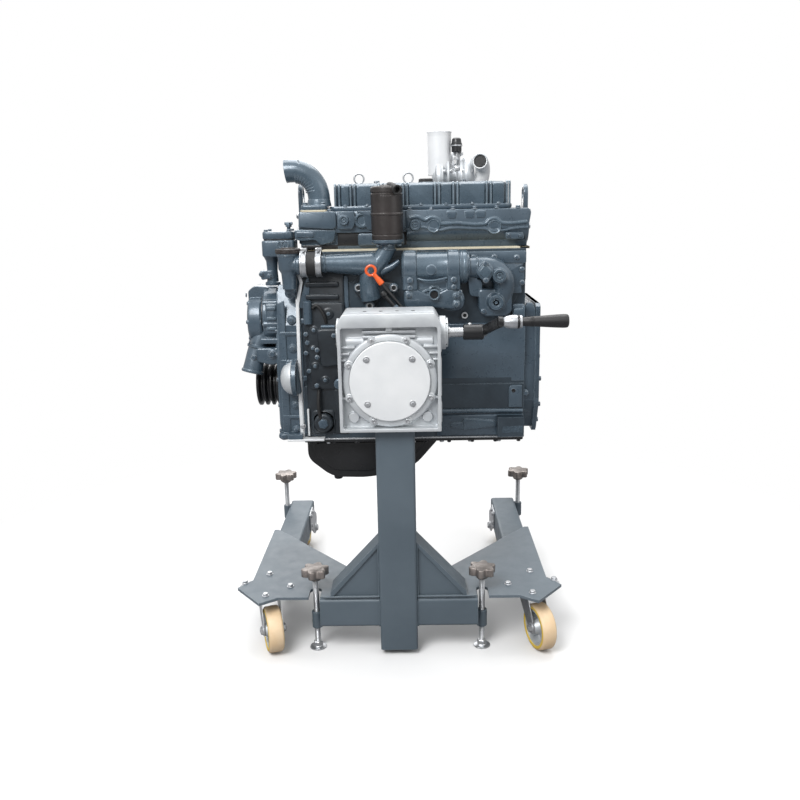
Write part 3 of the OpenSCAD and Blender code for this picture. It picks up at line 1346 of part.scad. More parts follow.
// Camshaft: journals, eight lobes and the timing gear
lobe_angles = [0, 110, 270, 20, 90, 200, 180, 290];
module camshaft() placed() color(steel) translate([0, cam_y, cam_z]) {
    bar_x(-gear_x - gear_face / 2, block_rear - end_wall - gap, cam_r * 0.7);
    for (x = bearings) bar_x(x - bulkhead_t / 2, min(x + bulkhead_t / 2, block_rear - end_wall - gap), cam_r);
    for (i = [0 : 3], s = [0, 1]) translate([cylinders[i] + (s - 0.5) * bore_pitch / 3, 0, 0])
        slab_x(-cam_r / 2, cam_r / 2) rotate(lobe_angles[2 * i + s]) {
            circle(cam_r * 0.82);
            translate([cam_r * 0.6, 0]) circle(cam_r * 0.55);
        }
    slab_x(-gear_x - gear_face / 2, -gear_x + gear_face / 2)
        timing_gear(2 * crank_teeth, mesh_at + 180 + 90 / crank_teeth);
}

// Pistons: hollow below with three ring grooves
ring_groove = 2;
skirt_wall = 9;
crown_t_piston = 16;
module piston(x, top) translate([x, crank_y, top - piston_h]) rotate_extrude() polygon(concat(
    [[bore_r - skirt_wall, 0], [bore_r - fit, 0]],
    [for (k = [0 : 2]) let (z = piston_h - 34 + 9 * k) for (q = [
        [bore_r - fit, z], [bore_r - fit - ring_groove, z], [bore_r - fit - ring_groove, z + 3], [bore_r - fit, z + 3]]) q],
    [[bore_r - fit, piston_h], [0, piston_h], [0, piston_h - crown_t_piston], [bore_r - skirt_wall, piston_h - crown_t_piston]]));
crown_gap = 1;
module outer_pistons() placed() color(cast_alu) for (i = [0, 3]) piston(cylinders[i], deck_z - crown_gap);
module inner_pistons() placed() color(cast_alu)
    for (i = [1, 2]) piston(cylinders[i], deck_z - crown_gap - 2 * throw_r);

// Dipstick: ring handle and blade, sliding in its guide tube on the oil cooler
stick_len = 92;
eye_r = 13;
module dipstick() placed() color(handle_orange) stick_place() {
    cylinder(r = stick_r, h = stick_len);
    translate([0, 0, stick_len - e]) cylinder(r = 1.2 * stick_r, h = eye_r);
    translate([0, 0, stick_len + 2 * eye_r]) difference() {
        bar_y(-stick_r, stick_r, eye_r + stick_r);
        bar_y(-eye_r, eye_r, eye_r - stick_r);
    }
}

column();
cross_tube();
legs();
base_plates();
column_braces();
jack_sleeves();
stand_fasteners();
caster_brackets();
gearbox_housing();
gearbox_cover();
gearbox_disc();
left_fork();
right_fork();
front_left_wheel();
front_right_wheel();
rear_left_wheel();
rear_right_wheel();
front_left_screw();
front_right_screw();
rear_left_screw();
rear_right_screw();
front_left_foot();
front_right_foot();
rear_left_foot();
rear_right_foot();
worm_shaft();
crank_arm();
crank_grip();
worm_wheel();
engine_bracket();
engine_block();
bearing_caps();
cylinder_head();
head_gasket();
rocker_cover();
valve_gear();
oil_pan();
gear_case();
flywheel_housing();
coolant_pump();
thermostat_housing();
coolant_hose();
coolant_pipe();
oil_cooler();
cooler_elbow();
breather_canister();
breather_pipe();
outlet_elbow();
lifting_eyes();
exhaust_manifold();
turbocharger();
engine_fasteners();
crankshaft();
crank_pulley();
flywheel();
camshaft();
turbo_rotor();
dipstick();
outer_pistons();
inner_pistons();
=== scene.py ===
"""Looks of a diesel engine on its rotating stand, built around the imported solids.

Measures are in millimetres in the stand's own frame: X right, Y away from the hand crank,
Z up, with the column's foot at the origin. place() turns them into the object's metres.
"""
import json
from math import cos, pi, radians, sin, sqrt, tau

import bmesh
import bpy
from mathutils import Matrix, Vector


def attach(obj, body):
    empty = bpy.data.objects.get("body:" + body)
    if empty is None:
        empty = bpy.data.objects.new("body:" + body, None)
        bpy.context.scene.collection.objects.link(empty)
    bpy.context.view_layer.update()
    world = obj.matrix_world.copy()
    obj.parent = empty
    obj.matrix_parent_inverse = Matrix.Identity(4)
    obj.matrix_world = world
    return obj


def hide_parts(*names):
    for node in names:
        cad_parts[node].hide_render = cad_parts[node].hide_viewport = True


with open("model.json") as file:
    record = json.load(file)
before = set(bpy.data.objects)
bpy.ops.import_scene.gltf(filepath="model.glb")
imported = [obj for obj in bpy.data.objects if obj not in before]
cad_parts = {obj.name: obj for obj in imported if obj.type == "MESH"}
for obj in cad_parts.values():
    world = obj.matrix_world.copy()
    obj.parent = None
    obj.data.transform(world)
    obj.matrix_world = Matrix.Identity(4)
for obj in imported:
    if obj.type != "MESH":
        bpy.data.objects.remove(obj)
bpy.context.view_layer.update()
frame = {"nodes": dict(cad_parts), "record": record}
NODES = frame["nodes"]

MM = 0.001
WORM_Y = -7
CRANK_RISE = radians(21)
CRANK_ARM = 105
GRIP_R = 16
REAR_X, REAR_Y, WHEEL_R = 357, 710, 62.5
FRONT_REACH = -WORM_Y + CRANK_ARM * cos(CRANK_RISE) + GRIP_R
REAR_REACH = REAR_Y + WHEEL_R
MID_Y = (REAR_REACH - FRONT_REACH) / 2


def place(x, y, z):
    """A point of the stand's frame, in millimetres, as the object's metres."""
    return Vector((x * MM, (y - MID_Y) * MM, z * MM))


# Camera, fitted to the photograph

CAMERA_AT = (54.784, -2032.567, 1182.012)
CAMERA_TURN = (0.2339, -0.0204, -0.0202)


def make_camera():
    """The camera, as fitted to the photograph."""
    pitch, roll, yaw = CAMERA_TURN
    forward = Vector((sin(yaw) * cos(pitch), cos(yaw) * cos(pitch), -sin(pitch)))
    side = Vector((cos(yaw), -sin(yaw), 0))
    up = side.cross(forward)
    right = cos(roll) * side + sin(roll) * up
    above = -sin(roll) * side + cos(roll) * up
    data = bpy.data.cameras.new("camera")
    data.sensor_width = 36
    data.lens = 36.66
    data.clip_end = 60
    cam = bpy.data.objects.new("camera", data)
    bpy.context.scene.collection.objects.link(cam)
    turn = Matrix((right, above, -forward)).transposed().to_4x4()
    cam.matrix_world = Matrix.Translation(place(*CAMERA_AT)) @ turn
    bpy.context.scene.camera = cam
    return cam


make_camera()

# Materials


def put(node, values):
    """Sets the values of a node's inputs by their names."""
    for name, value in values.items():
        node.inputs[name].default_value = value


# how far a face and its rounded copy agree, on a flat and at an edge
EDGE_FLAT, EDGE_SHARP = 0.985, 0.86


class Nodes:
    """Short calls for the nodes of one material or world."""

    def __init__(self, owner, shader="Principled BSDF"):
        self.mat = owner
        self.mat.use_nodes = True
        self.tree = self.mat.node_tree
        self.shader = self.tree.nodes[shader]
        self.coords = self.add("ShaderNodeTexCoord").outputs["Object"]

    def add(self, kind, **values):
        """A new node with the given settings."""
        node = self.tree.nodes.new(kind)
        for key, value in values.items():
            setattr(node, key, value)
        return node

    def link(self, a, b):
        self.tree.links.new(a, b)

    def noise(self, scale, detail=3.0, rough=0.55, stretch=None):
        """The value of a noise in object space."""
        node = self.add("ShaderNodeTexNoise")
        put(node, {"Scale": scale, "Detail": detail, "Roughness": rough})
        source = self.coords
        if stretch:
            mapping = self.add("ShaderNodeMapping")
            mapping.inputs["Scale"].default_value = stretch
            self.link(self.coords, mapping.inputs["Vector"])
            source = mapping.outputs["Vector"]
        self.link(source, node.inputs["Vector"])
        return node.outputs["Fac"]

    def ramp(self, value, low, high, a=0.0, b=1.0):
        """Maps low to a and high to b, each of which is a number or another node's output."""
        node = self.add("ShaderNodeMapRange")
        put(node, {"From Min": low, "From Max": high})
        for socket, end in (("To Min", a), ("To Max", b)):
            if hasattr(end, "is_output"):
                self.link(end, node.inputs[socket])
            else:
                put(node, {socket: end})
        self.link(value, node.inputs["Value"])
        return node.outputs["Result"]

    def mix(self, fac, a, b):
        """A colour between a and b, each of which is a colour or a node output."""
        node = self.add("ShaderNodeMix", data_type="RGBA")
        for socket, value in (("A", a), ("B", b)):
            target = [s for s in node.inputs if s.name == socket and s.type == "RGBA"][0]
            if hasattr(value, "is_output"):
                self.link(value, target)
            else:
                target.default_value = (*value, 1)
        self.link(fac, node.inputs[0])
        return [s for s in node.outputs if s.type == "RGBA"][0]

    def edge(self, radius):
        """1 on sharp outer and inner edges, 0 on flat faces."""
        bevel = self.add("ShaderNodeBevel", samples=4)
        bevel.inputs["Radius"].default_value = radius
        geometry = self.add("ShaderNodeNewGeometry")
        dot = self.add("ShaderNodeVectorMath", operation="DOT_PRODUCT")
        self.link(bevel.outputs["Normal"], dot.inputs[0])
        self.link(geometry.outputs["Normal"], dot.inputs[1])
        return self.ramp(dot.outputs["Value"], EDGE_FLAT, EDGE_SHARP)

    def bump(self, height, strength, distance, radius=0.0):
        """Gives the shader a relief, over edges rounded by radius."""
        node = self.add("ShaderNodeBump")
        put(node, {"Strength": strength, "Distance": distance})
        self.link(height, node.inputs["Height"])
        if radius:
            bevel = self.add("ShaderNodeBevel", samples=4)
            bevel.inputs["Radius"].default_value = radius
            self.link(bevel.outputs["Normal"], node.inputs["Normal"])
        self.link(node.outputs["Normal"], self.shader.inputs["Normal"])


def finish(name, colour, second, metallic=0.0, rough=(0.4, 0.55), grain=300.0, relief=0.2,
           depth=0.0006, round_edge=0.0012, wear_and_highlight=None, patch=6.0, stretch=None, coat=0.0, specular=0.5):
    """One procedural finish: two mottled tones, uneven gloss, a fine relief, and edges lightened partly
    as wear and partly as painted highlight.
    """
    colour, second, wear_and_highlight = (c and rgb(*c) for c in (colour, second, wear_and_highlight))
    n = Nodes(bpy.data.materials.new(name))
    tone = n.ramp(n.noise(patch, 5.0, 0.6, stretch), 0.35, 0.65)
    base = n.mix(tone, colour, second)
    if wear_and_highlight:
        # sharp edges are mixed towards the lighter edge colour: partly wear, partly a painted highlight
        # where rounded edges catch the light
        mask = n.edge(round_edge * 1.6)
        break_up = n.add("ShaderNodeMath", operation="MULTIPLY")
        n.link(mask, break_up.inputs[0])
        n.link(n.ramp(n.noise(90.0, 3.0), 0.35, 0.7, 0.15, 1.0), break_up.inputs[1])
        base = n.mix(break_up.outputs[0], base, wear_and_highlight)
    n.link(base, n.shader.inputs["Base Color"])
    n.link(n.ramp(n.noise(patch * 7, 4.0, 0.6, stretch), 0.3, 0.7, *rough), n.shader.inputs["Roughness"])
    put(n.shader, {"Metallic": metallic, "Coat Weight": coat, "Specular IOR Level": specular})
    n.bump(n.noise(grain, 3.0, 0.6, stretch), relief, depth, round_edge)
    n.mat.diffuse_color = (*colour, 1)
    return n.mat


def rgb(r, g, b):
    """A display colour, 0 to 255, as linear light."""
    return tuple(((c / 255 + 0.055) / 1.055) ** 2.4 if c > 10 else c / 255 / 12.92 for c in (r, g, b))


PAINT = finish(
    "engine_paint", (77, 93, 106), (63, 78, 90), 0.2, (0.24, 0.38), 260.0, 0.22, 0.0007, 0.0020,
    (132, 147, 158), 9.0, coat=0.35)
PAINT_SMOOTH = finish(
    "engine_paint_smooth", (83, 100, 113), (69, 85, 97), 0.2, (0.20, 0.34), 420.0, 0.10, 0.0004, 0.0020,
    (134, 149, 160), 9.0, coat=0.35)
STAND_PAINT = finish(
    "stand_paint", (88, 100, 109), (80, 92, 101), 0.0, (0.36, 0.50), 700.0, 0.12, 0.0003, 0.0016,
    (124, 136, 144), 5.0)
PLATE_PAINT = finish(
    "plate_paint", (101, 112, 120), (92, 103, 112), 0.0, (0.36, 0.50), 700.0, 0.12, 0.0003, 0.0016,
    (165, 174, 180), 5.0)
CAST_ALU = finish(
    "cast_aluminium", (204, 208, 210), (186, 190, 194), 0.5, (0.42, 0.56), 520.0, 0.25, 0.0004, 0.0020,
    (214, 216, 217), 8.0)
DISC_ALU = finish(
    "disc_aluminium", (234, 236, 237), (224, 227, 229), 0.3, (0.40, 0.52), 700.0, 0.12, 0.0002, 0.0020,
    (238, 239, 240), 7.0)
MACHINED = finish(
    "machined_steel", (190, 192, 194), (168, 171, 174), 0.9, (0.22, 0.36), 500.0, 0.10, 0.0002, 0.0008,
    (215, 217, 219), 20.0)
ZINC = finish(
    "zinc", (196, 198, 200), (170, 173, 177), 0.85, (0.26, 0.42), 600.0, 0.12, 0.0002, 0.0008,
    (220, 221, 223), 28.0)
BLACK = finish(
    "black_metal", (30, 31, 33), (22, 23, 25), 0.1, (0.26, 0.42), 380.0, 0.2, 0.0004, 0.0014,
    (66, 68, 71), 14.0)
PLASTIC = finish(
    "black_plastic", (28, 28, 30), (22, 22, 24), 0.0, (0.40, 0.55), 900.0, 0.15, 0.0002, 0.0012, None,
    20.0)
BROWN = finish(
    "canister_plastic", (46, 41, 40), (36, 32, 31), 0.0, (0.30, 0.42), 600.0, 0.12, 0.0003, 0.0014,
    (84, 78, 76), 12.0)
RUBBER = finish(
    "hose_rubber", (30, 30, 31), (24, 24, 25), 0.0, (0.55, 0.72), 900.0, 0.2, 0.0003, 0.0012, None, 20.0)
GASKET = finish(
    "gasket", (208, 200, 178), (190, 182, 160), 0.0, (0.6, 0.75), 500.0, 0.15, 0.0002, 0.0003, None, 20.0)
TYRE = finish(
    "caster_tyre", (238, 212, 176), (230, 200, 160), 0.0, (0.42, 0.55), 500.0, 0.1, 0.0003, 0.0016, None,
    24.0)
YELLOW = finish(
    "tyre_side", (228, 196, 84), (218, 184, 70), 0.0, (0.42, 0.55), 500.0, 0.1, 0.0003, 0.0012, None,
    24.0)
KNOB = finish(
    "knob_metal", (158, 150, 145), (120, 113, 109), 0.75, (0.28, 0.46), 260.0, 0.35, 0.0006, 0.0016,
    (168, 162, 156), 40.0)
ORANGE = finish(
    "handle_orange", (226, 92, 30), (214, 82, 24), 0.0, (0.25, 0.36), 500.0, 0.05, 0.0002, 0.0008, None,
    20.0, None, 0.3)
MANIFOLD = finish(
    "manifold_iron", (96, 82, 74), (76, 64, 58), 0.5, (0.55, 0.72), 300.0, 0.4, 0.0008, 0.0018,
    (130, 112, 100), 16.0)
BRONZE = finish(
    "bronze", (178, 140, 78), (160, 122, 64), 0.9, (0.25, 0.38), 400.0, 0.1, 0.0002, 0.0008,
    (205, 170, 110), 20.0)
DUCT = finish(
    "duct_aluminium", (236, 237, 238), (226, 228, 230), 0.05, (0.35, 0.48), 500.0, 0.1, 0.0002, 0.0014,
    None, 12.0)
RED_BROWN = finish(
    "heat_stain", (120, 96, 84), (96, 78, 70), 0.5, (0.5, 0.7), 300.0, 0.3, 0.0005, 0.0014, None, 16.0)
HEAD_BOLT = finish(
    "painted_bolt", (84, 100, 113), (66, 81, 94), 0.35, (0.24, 0.36), 420.0, 0.12, 0.0003, 0.0012,
    (176, 184, 190), 40.0)
DARK = finish(
    "dark_paint", (44, 51, 57), (30, 35, 40), 0.15, (0.28, 0.45), 260.0, 0.25, 0.0006, 0.0018,
    (84, 94, 102), 18.0)
# the ridges' finish is lighter than the engine paint as a painted highlight where the half-round ridges
# catch the light; its paler edges are partly wear, partly painted highlight
RIDGE_HIGHLIGHT = finish(
    "ridge_highlight", (112, 127, 138), (84, 99, 110), 0.2, (0.18, 0.30), 420.0, 0.10, 0.0003, 0.0012,
    (196, 202, 204), 30.0, coat=0.4)
BLOCK_PAINT = finish(
    "block_paint", (56, 69, 79), (42, 53, 62), 0.15, (0.28, 0.44), 260.0, 0.25, 0.0007, 0.0020,
    (112, 126, 136), 7.0, coat=0.2)

NODE_FINISH = {
    "stand_paint": STAND_PAINT, "plate_paint": PLATE_PAINT, "engine_paint": PAINT,
    "cast_aluminium": CAST_ALU, "zinc": ZINC, "steel": MACHINED, "bronze": BRONZE,
    "black_metal": BLACK, "black_plastic": PLASTIC, "canister_brown": BROWN, "hose_rubber": RUBBER,
    "gasket": GASKET, "caster_tyre": TYRE, "knob_metal": KNOB, "handle": ORANGE,
    "manifold_iron": MANIFOLD,
}
OWN_FINISH = {"gearbox_disc": DISC_ALU, "engine_block": BLOCK_PAINT, "engine_bracket": DARK}
for part in frame["record"]["subparts"]:
    node = NODES[part["node"]]
    node.data.materials.clear()
    node.data.materials.append(OWN_FINISH.get(part["node"], NODE_FINISH[part["material_slot"]]))


# Mesh building, in the stand frame's millimetres

AXES = {"x": Vector((1, 0, 0)), "y": Vector((0, 1, 0)), "z": Vector((0, 0, 1))}
SHARP = radians(32)
CORNER_SHARE = 0.45


def unit(direction):
    """A unit vector for an axis such as "-y", or for any vector."""
    if isinstance(direction, str):
        sign = -1 if direction[0] == "-" else 1
        return AXES[direction[-1]] * sign
    return Vector(direction).normalized()


def circle(r, count, start=0.0):
    """Points of a circle about the origin."""
    return [(r * cos(start + tau * k / count), r * sin(start + tau * k / count)) for k in range(count)]


def rounded(points, radius, steps=4):
    """A closed 2D outline with its corners rounded; radius is one value or one for each corner."""
    out = []
    count = len(points)
    for i, p in enumerate(points):
        r = radius[i] if isinstance(radius, (list, tuple)) else radius
        p = Vector(p)
        a = (Vector(points[i - 1]) - p)
        b = (Vector(points[(i + 1) % count]) - p)
        cut = min(r, a.length * CORNER_SHARE, b.length * CORNER_SHARE)
        if cut <= 0:
            out.append(tuple(p))
            continue
        a, b = p + a.normalized() * cut, p + b.normalized() * cut
        for k in range(steps + 1):
            t = k / steps
            out.append(tuple((1 - t) ** 2 * a + 2 * t * (1 - t) * p + t * t * b))
    return out


def smooth_path(points, steps=6):
    """A Catmull-Rom curve through 3D points."""
    pts = [Vector(p) for p in points]
    out = []
    for i in range(len(pts) - 1):
        a, b, c, d = pts[max(i - 1, 0)], pts[i], pts[i + 1], pts[min(i + 2, len(pts) - 1)]
        for k in range(steps):
            t = k / steps
            out.append(0.5 * (2 * b + (c - a) * t + (2 * a - 5 * b + 4 * c - d) * t * t
                              + (3 * b - a - 3 * c + d) * t ** 3))
    out.append(pts[-1])
    return out


class Shape:
    """Collects closed forms in one mesh, each with a finish of its own."""

    def __init__(self, *finishes):
        self.finishes = list(finishes)
        self.bm = bmesh.new()

    def take(self, part, mat=0, bevel=0.0, segments=2, matrix=None):
        """Rounds the part's sharp edges and adds it to the shape."""
        bmesh.ops.recalc_face_normals(part, faces=part.faces)
        if bevel > 0:
            sharp = [e for e in part.edges if len(e.link_faces) == 2 and e.calc_face_angle() > SHARP]
            bmesh.ops.bevel(
                part, geom=sharp, offset=bevel, segments=segments, profile=0.5, affect="EDGES",
                clamp_overlap=True)
        if matrix is not None:
            bmesh.ops.transform(part, matrix=matrix, verts=part.verts)
        for face in part.faces:
            face.material_index = mat
            face.smooth = True
        for edge in part.edges:
            edge.smooth = len(edge.link_faces) != 2 or edge.calc_face_angle() < SHARP
        return self.absorb(part)

    def absorb(self, part):
        """Adds the faces of another bmesh, which it frees."""
        mesh = bpy.data.meshes.new("part")
        part.to_mesh(mesh)
        part.free()
        self.bm.from_mesh(mesh)
        bpy.data.meshes.remove(mesh)
        return self

    def block(self, low, high, bevel=2.0, mat=0, segments=2, turn=None):
        """A box between two corners, turned about its centre if asked."""
        part = bmesh.new()
        size = Vector(high) - Vector(low)
        centre = (Vector(high) + Vector(low)) / 2
        bmesh.ops.create_cube(part, size=1.0, matrix=Matrix.Diagonal((*size, 1)))
        matrix = Matrix.Translation(centre)
        if turn:
            matrix = matrix @ turn.to_4x4()
        return self.take(part, mat, bevel, segments, matrix)

    def lathe(self, start, direction, profile, mat=0, segments=48, closed=False):
        """Turns a profile of (distance along, radius) pairs; closed joins its two ends."""
        part = bmesh.new()
        along = unit(direction)
        side = along.orthogonal().normalized()
        other = along.cross(side)
        rings = []
        for s, r in profile:
            if r <= 0:
                rings.append([part.verts.new(along * s)])
            else:
                rings.append(
                    [part.verts.new(along * s + side * x + other * y) for x, y in circle(r, segments)])
        pairs = list(zip(rings, rings[1:]))
        if closed:
            pairs.append((rings[-1], rings[0]))
        for a, b in pairs:
            for k in range(segments):
                j = (k + 1) % segments
                corners = [a[k % len(a)], a[j % len(a)], b[j % len(b)], b[k % len(b)]]
                face = list(dict.fromkeys(corners))
                if len(face) > 2:
                    part.faces.new(face)
        if not closed:
            for ring in (rings[0], rings[-1]):
                if len(ring) > 1:
                    part.faces.new(ring)
        return self.take(part, mat, 0, 1, Matrix.Translation(Vector(start)))

    def turn(self, start, direction, profile, mat=0, segments=48):
        """A lathe with both of its ends closed by flat discs."""
        first, last = (profile[0][0], 0), (profile[-1][0], 0)
        return self.lathe(start, direction, [first, *profile, last], mat, segments)

    def rod(self, start, end, r, mat=0, segments=40, chamfer=1.0, r2=None):
        """A round bar with chamfered ends; r2 is its radius at the far end."""
        start, end = Vector(start), Vector(end)
        length = (end - start).length
        c = min(chamfer, length / 3, r / 3)
        last = r if r2 is None else r2
        return self.turn(
            start, end - start, [(0, r - c), (c, r), (length - c, last), (length, last - c)], mat,
            segments)

    def ring(self, start, end, outer, inner, mat=0, segments=48, chamfer=0.8):
        """A round bar with a bore through it."""
        start, end = Vector(start), Vector(end)
        length = (end - start).length
        c = min(chamfer, length / 3, (outer - inner) / 3)
        return self.lathe(
            start, end - start, [(0, inner + c), (0, outer - c), (c, outer), (length - c, outer),
            (length, outer - c), (length, inner + c), (length - c, inner), (c, inner)], mat, segments,
            True)

    def torus(self, centre, direction, major, minor, mat=0, segments=48, sides=12):
        """A ring of round section."""
        profile = [
            (minor * sin(tau * k / sides), major + minor * cos(tau * k / sides)) for k in range(sides)]
        return self.lathe(centre, direction, profile, mat, segments, True)

    def prism(self, outline, plane, low, high, bevel=2.0, mat=0, segments=2, hole=None):
        """Thickens an outline in the plane "xz", "yz" or "xy" from low to high, with a hole if given."""
        part = bmesh.new()

        def point(u, v, w):
            return {"xz": (u, w, v), "yz": (w, u, v), "xy": (u, v, w)}[plane]
        outers = [[part.verts.new(point(u, v, w)) for u, v in outline] for w in (low, high)]
        count = len(outline)
        for k in range(count):
            j = (k + 1) % count
            part.faces.new((outers[0][k], outers[0][j], outers[1][j], outers[1][k]))
        if hole is None:
            part.faces.new(outers[0])
            part.faces.new(outers[1])
        else:
            inners = [[part.verts.new(point(u, v, w)) for u, v in hole] for w in (low, high)]
            n = len(hole)
            for k in range(n):
                j = (k + 1) % n
                part.faces.new((inners[0][k], inners[0][j], inners[1][j], inners[1][k]))
            for a, b in zip(outers, inners):
                loops = [
                    part.edges.get((ring[k], ring[(k + 1) % len(ring)])) for ring in (a,
                    b) for k in range(len(ring))]
                bmesh.ops.triangle_fill(part, use_beauty=True, use_dissolve=False, edges=loops)
        return self.take(part, mat, bevel, segments)

    def cast(self, points, radius, low, high, bevel=2.0, mat=0, segments=2, plane="xz", steps=4,
             hole=None):
        """A prism of an outline with rounded corners."""
        return self.prism(rounded(points, radius, steps), plane, low, high, bevel, mat, segments, hole)

    def pad(self, u0, u1, v0, v1, radius, low, high, bevel=2.0, mat=0, segments=2, plane="xz", steps=4):
        """A rectangular prism with rounded corners."""
        corners = [(u0, v0), (u1, v0), (u1, v1), (u0, v1)]
        return self.cast(corners, radius, low, high, bevel, mat, segments, plane, steps)

    def tube(self, points, radii, mat=0, segments=28, steps=6, open_end=0.0):
        """A bent pipe; radii holds one or more along it, and open_end hollows its far mouth."""
        path = smooth_path(points, steps) if steps > 1 else [Vector(p) for p in points]
        count = len(path)
        if isinstance(radii, (int, float)):
            radii = [radii] * 2
        values = []
        for i in range(count):
            t = i / (count - 1) * (len(radii) - 1)
            k = min(int(t), len(radii) - 2)
            values.append(radii[k] + (radii[k + 1] - radii[k]) * (t - k))
        part = bmesh.new()
        rings = []
        tangent = (path[1] - path[0]).normalized()
        side = tangent.orthogonal().normalized()
        for i, p in enumerate(path):
            new = (path[min(i + 1, count - 1)] - path[max(i - 1, 0)]).normalized()
            side = (side - side.dot(new) * new).normalized()
            other = new.cross(side)
            rings.append(
                [part.verts.new(p + side * x + other * y) for x, y in circle(values[i], segments)])
            tangent = new
        if open_end:
            inner = values[-1] - open_end
            for depth in (0.0, 1.6 * inner):
                base = path[-1] - tangent * depth
                rings.append(
                    [part.verts.new(base + side * x + other * y) for x, y in circle(inner, segments)])
        for a, b in zip(rings, rings[1:]):
            for k in range(segments):
                j = (k + 1) % segments
                part.faces.new((a[k], a[j], b[j], b[k]))
        part.faces.new(rings[0])
        part.faces.new(rings[-1])
        return self.take(part, mat)

    def bolt(self, point, direction, size, mat=0, height=None, washer=True):
        """A hexagon head, size across its corners' radius, standing out of a face."""
        along = unit(direction)
        height = height or size * 0.7
        base = Vector(point)
        if washer:
            self.turn(
                base, along, [(0, size * 1.2), (size * 0.14, size * 1.2), (size * 0.2, size * 1.12)], mat,
                28)
        self.turn(
            base, along, [(0, size * 0.98), (size * 0.2, size), (height, size),
            (height + size * 0.16, size * 0.8)], mat, 6)
        return self

    def bolt_circle(self, centre, r, count, start, direction, *rest):
        """Bolts evenly spaced about a centre, on a face across X."""
        x, y, z = centre
        for dy, dz in circle(r, count, start):
            self.bolt((x, y + dy, z + dz), direction, *rest)

    def screw(self, point, direction, size, mat=0, height=None):
        """A socket screw's head standing out of a face."""
        height = height or size
        return self.turn(
            point, direction, [(0, size), (height * 0.9, size), (height, size * 0.88),
            (height, size * 0.55), (height * 0.45, size * 0.5)], mat, 24)

    def move(self, matrix):
        """Moves all that the shape holds so far."""
        bmesh.ops.transform(self.bm, matrix=matrix, verts=self.bm.verts)
        return self

    def make(self, name, body, *replaced, slot=None):
        """Turns the shape into an object in metres that rides on a body."""
        bmesh.ops.transform(
            self.bm, matrix=Matrix.Translation(place(0, 0, 0)) @ Matrix.Scale(MM, 4), verts=self.bm.verts)
        mesh = bpy.data.meshes.new(name)
        self.bm.to_mesh(mesh)
        self.bm.free()
        for mat in self.finishes:
            mesh.materials.append(mat)
        obj = bpy.data.objects.new(name, mesh)
        bpy.context.scene.collection.objects.link(obj)
        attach(obj, body)
        if replaced:
            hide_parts(*replaced)
        return obj


# Worm gearbox

BOX_X = -9
OUTPUT_Z = 761.5
WORM_Z = 871.5
BOX_HALF = 126.25
BOX_LOW, BOX_TOP = 634, 929
BOX_FRONT, BOX_BACK = -78, 64
FLOOR_Y = -52


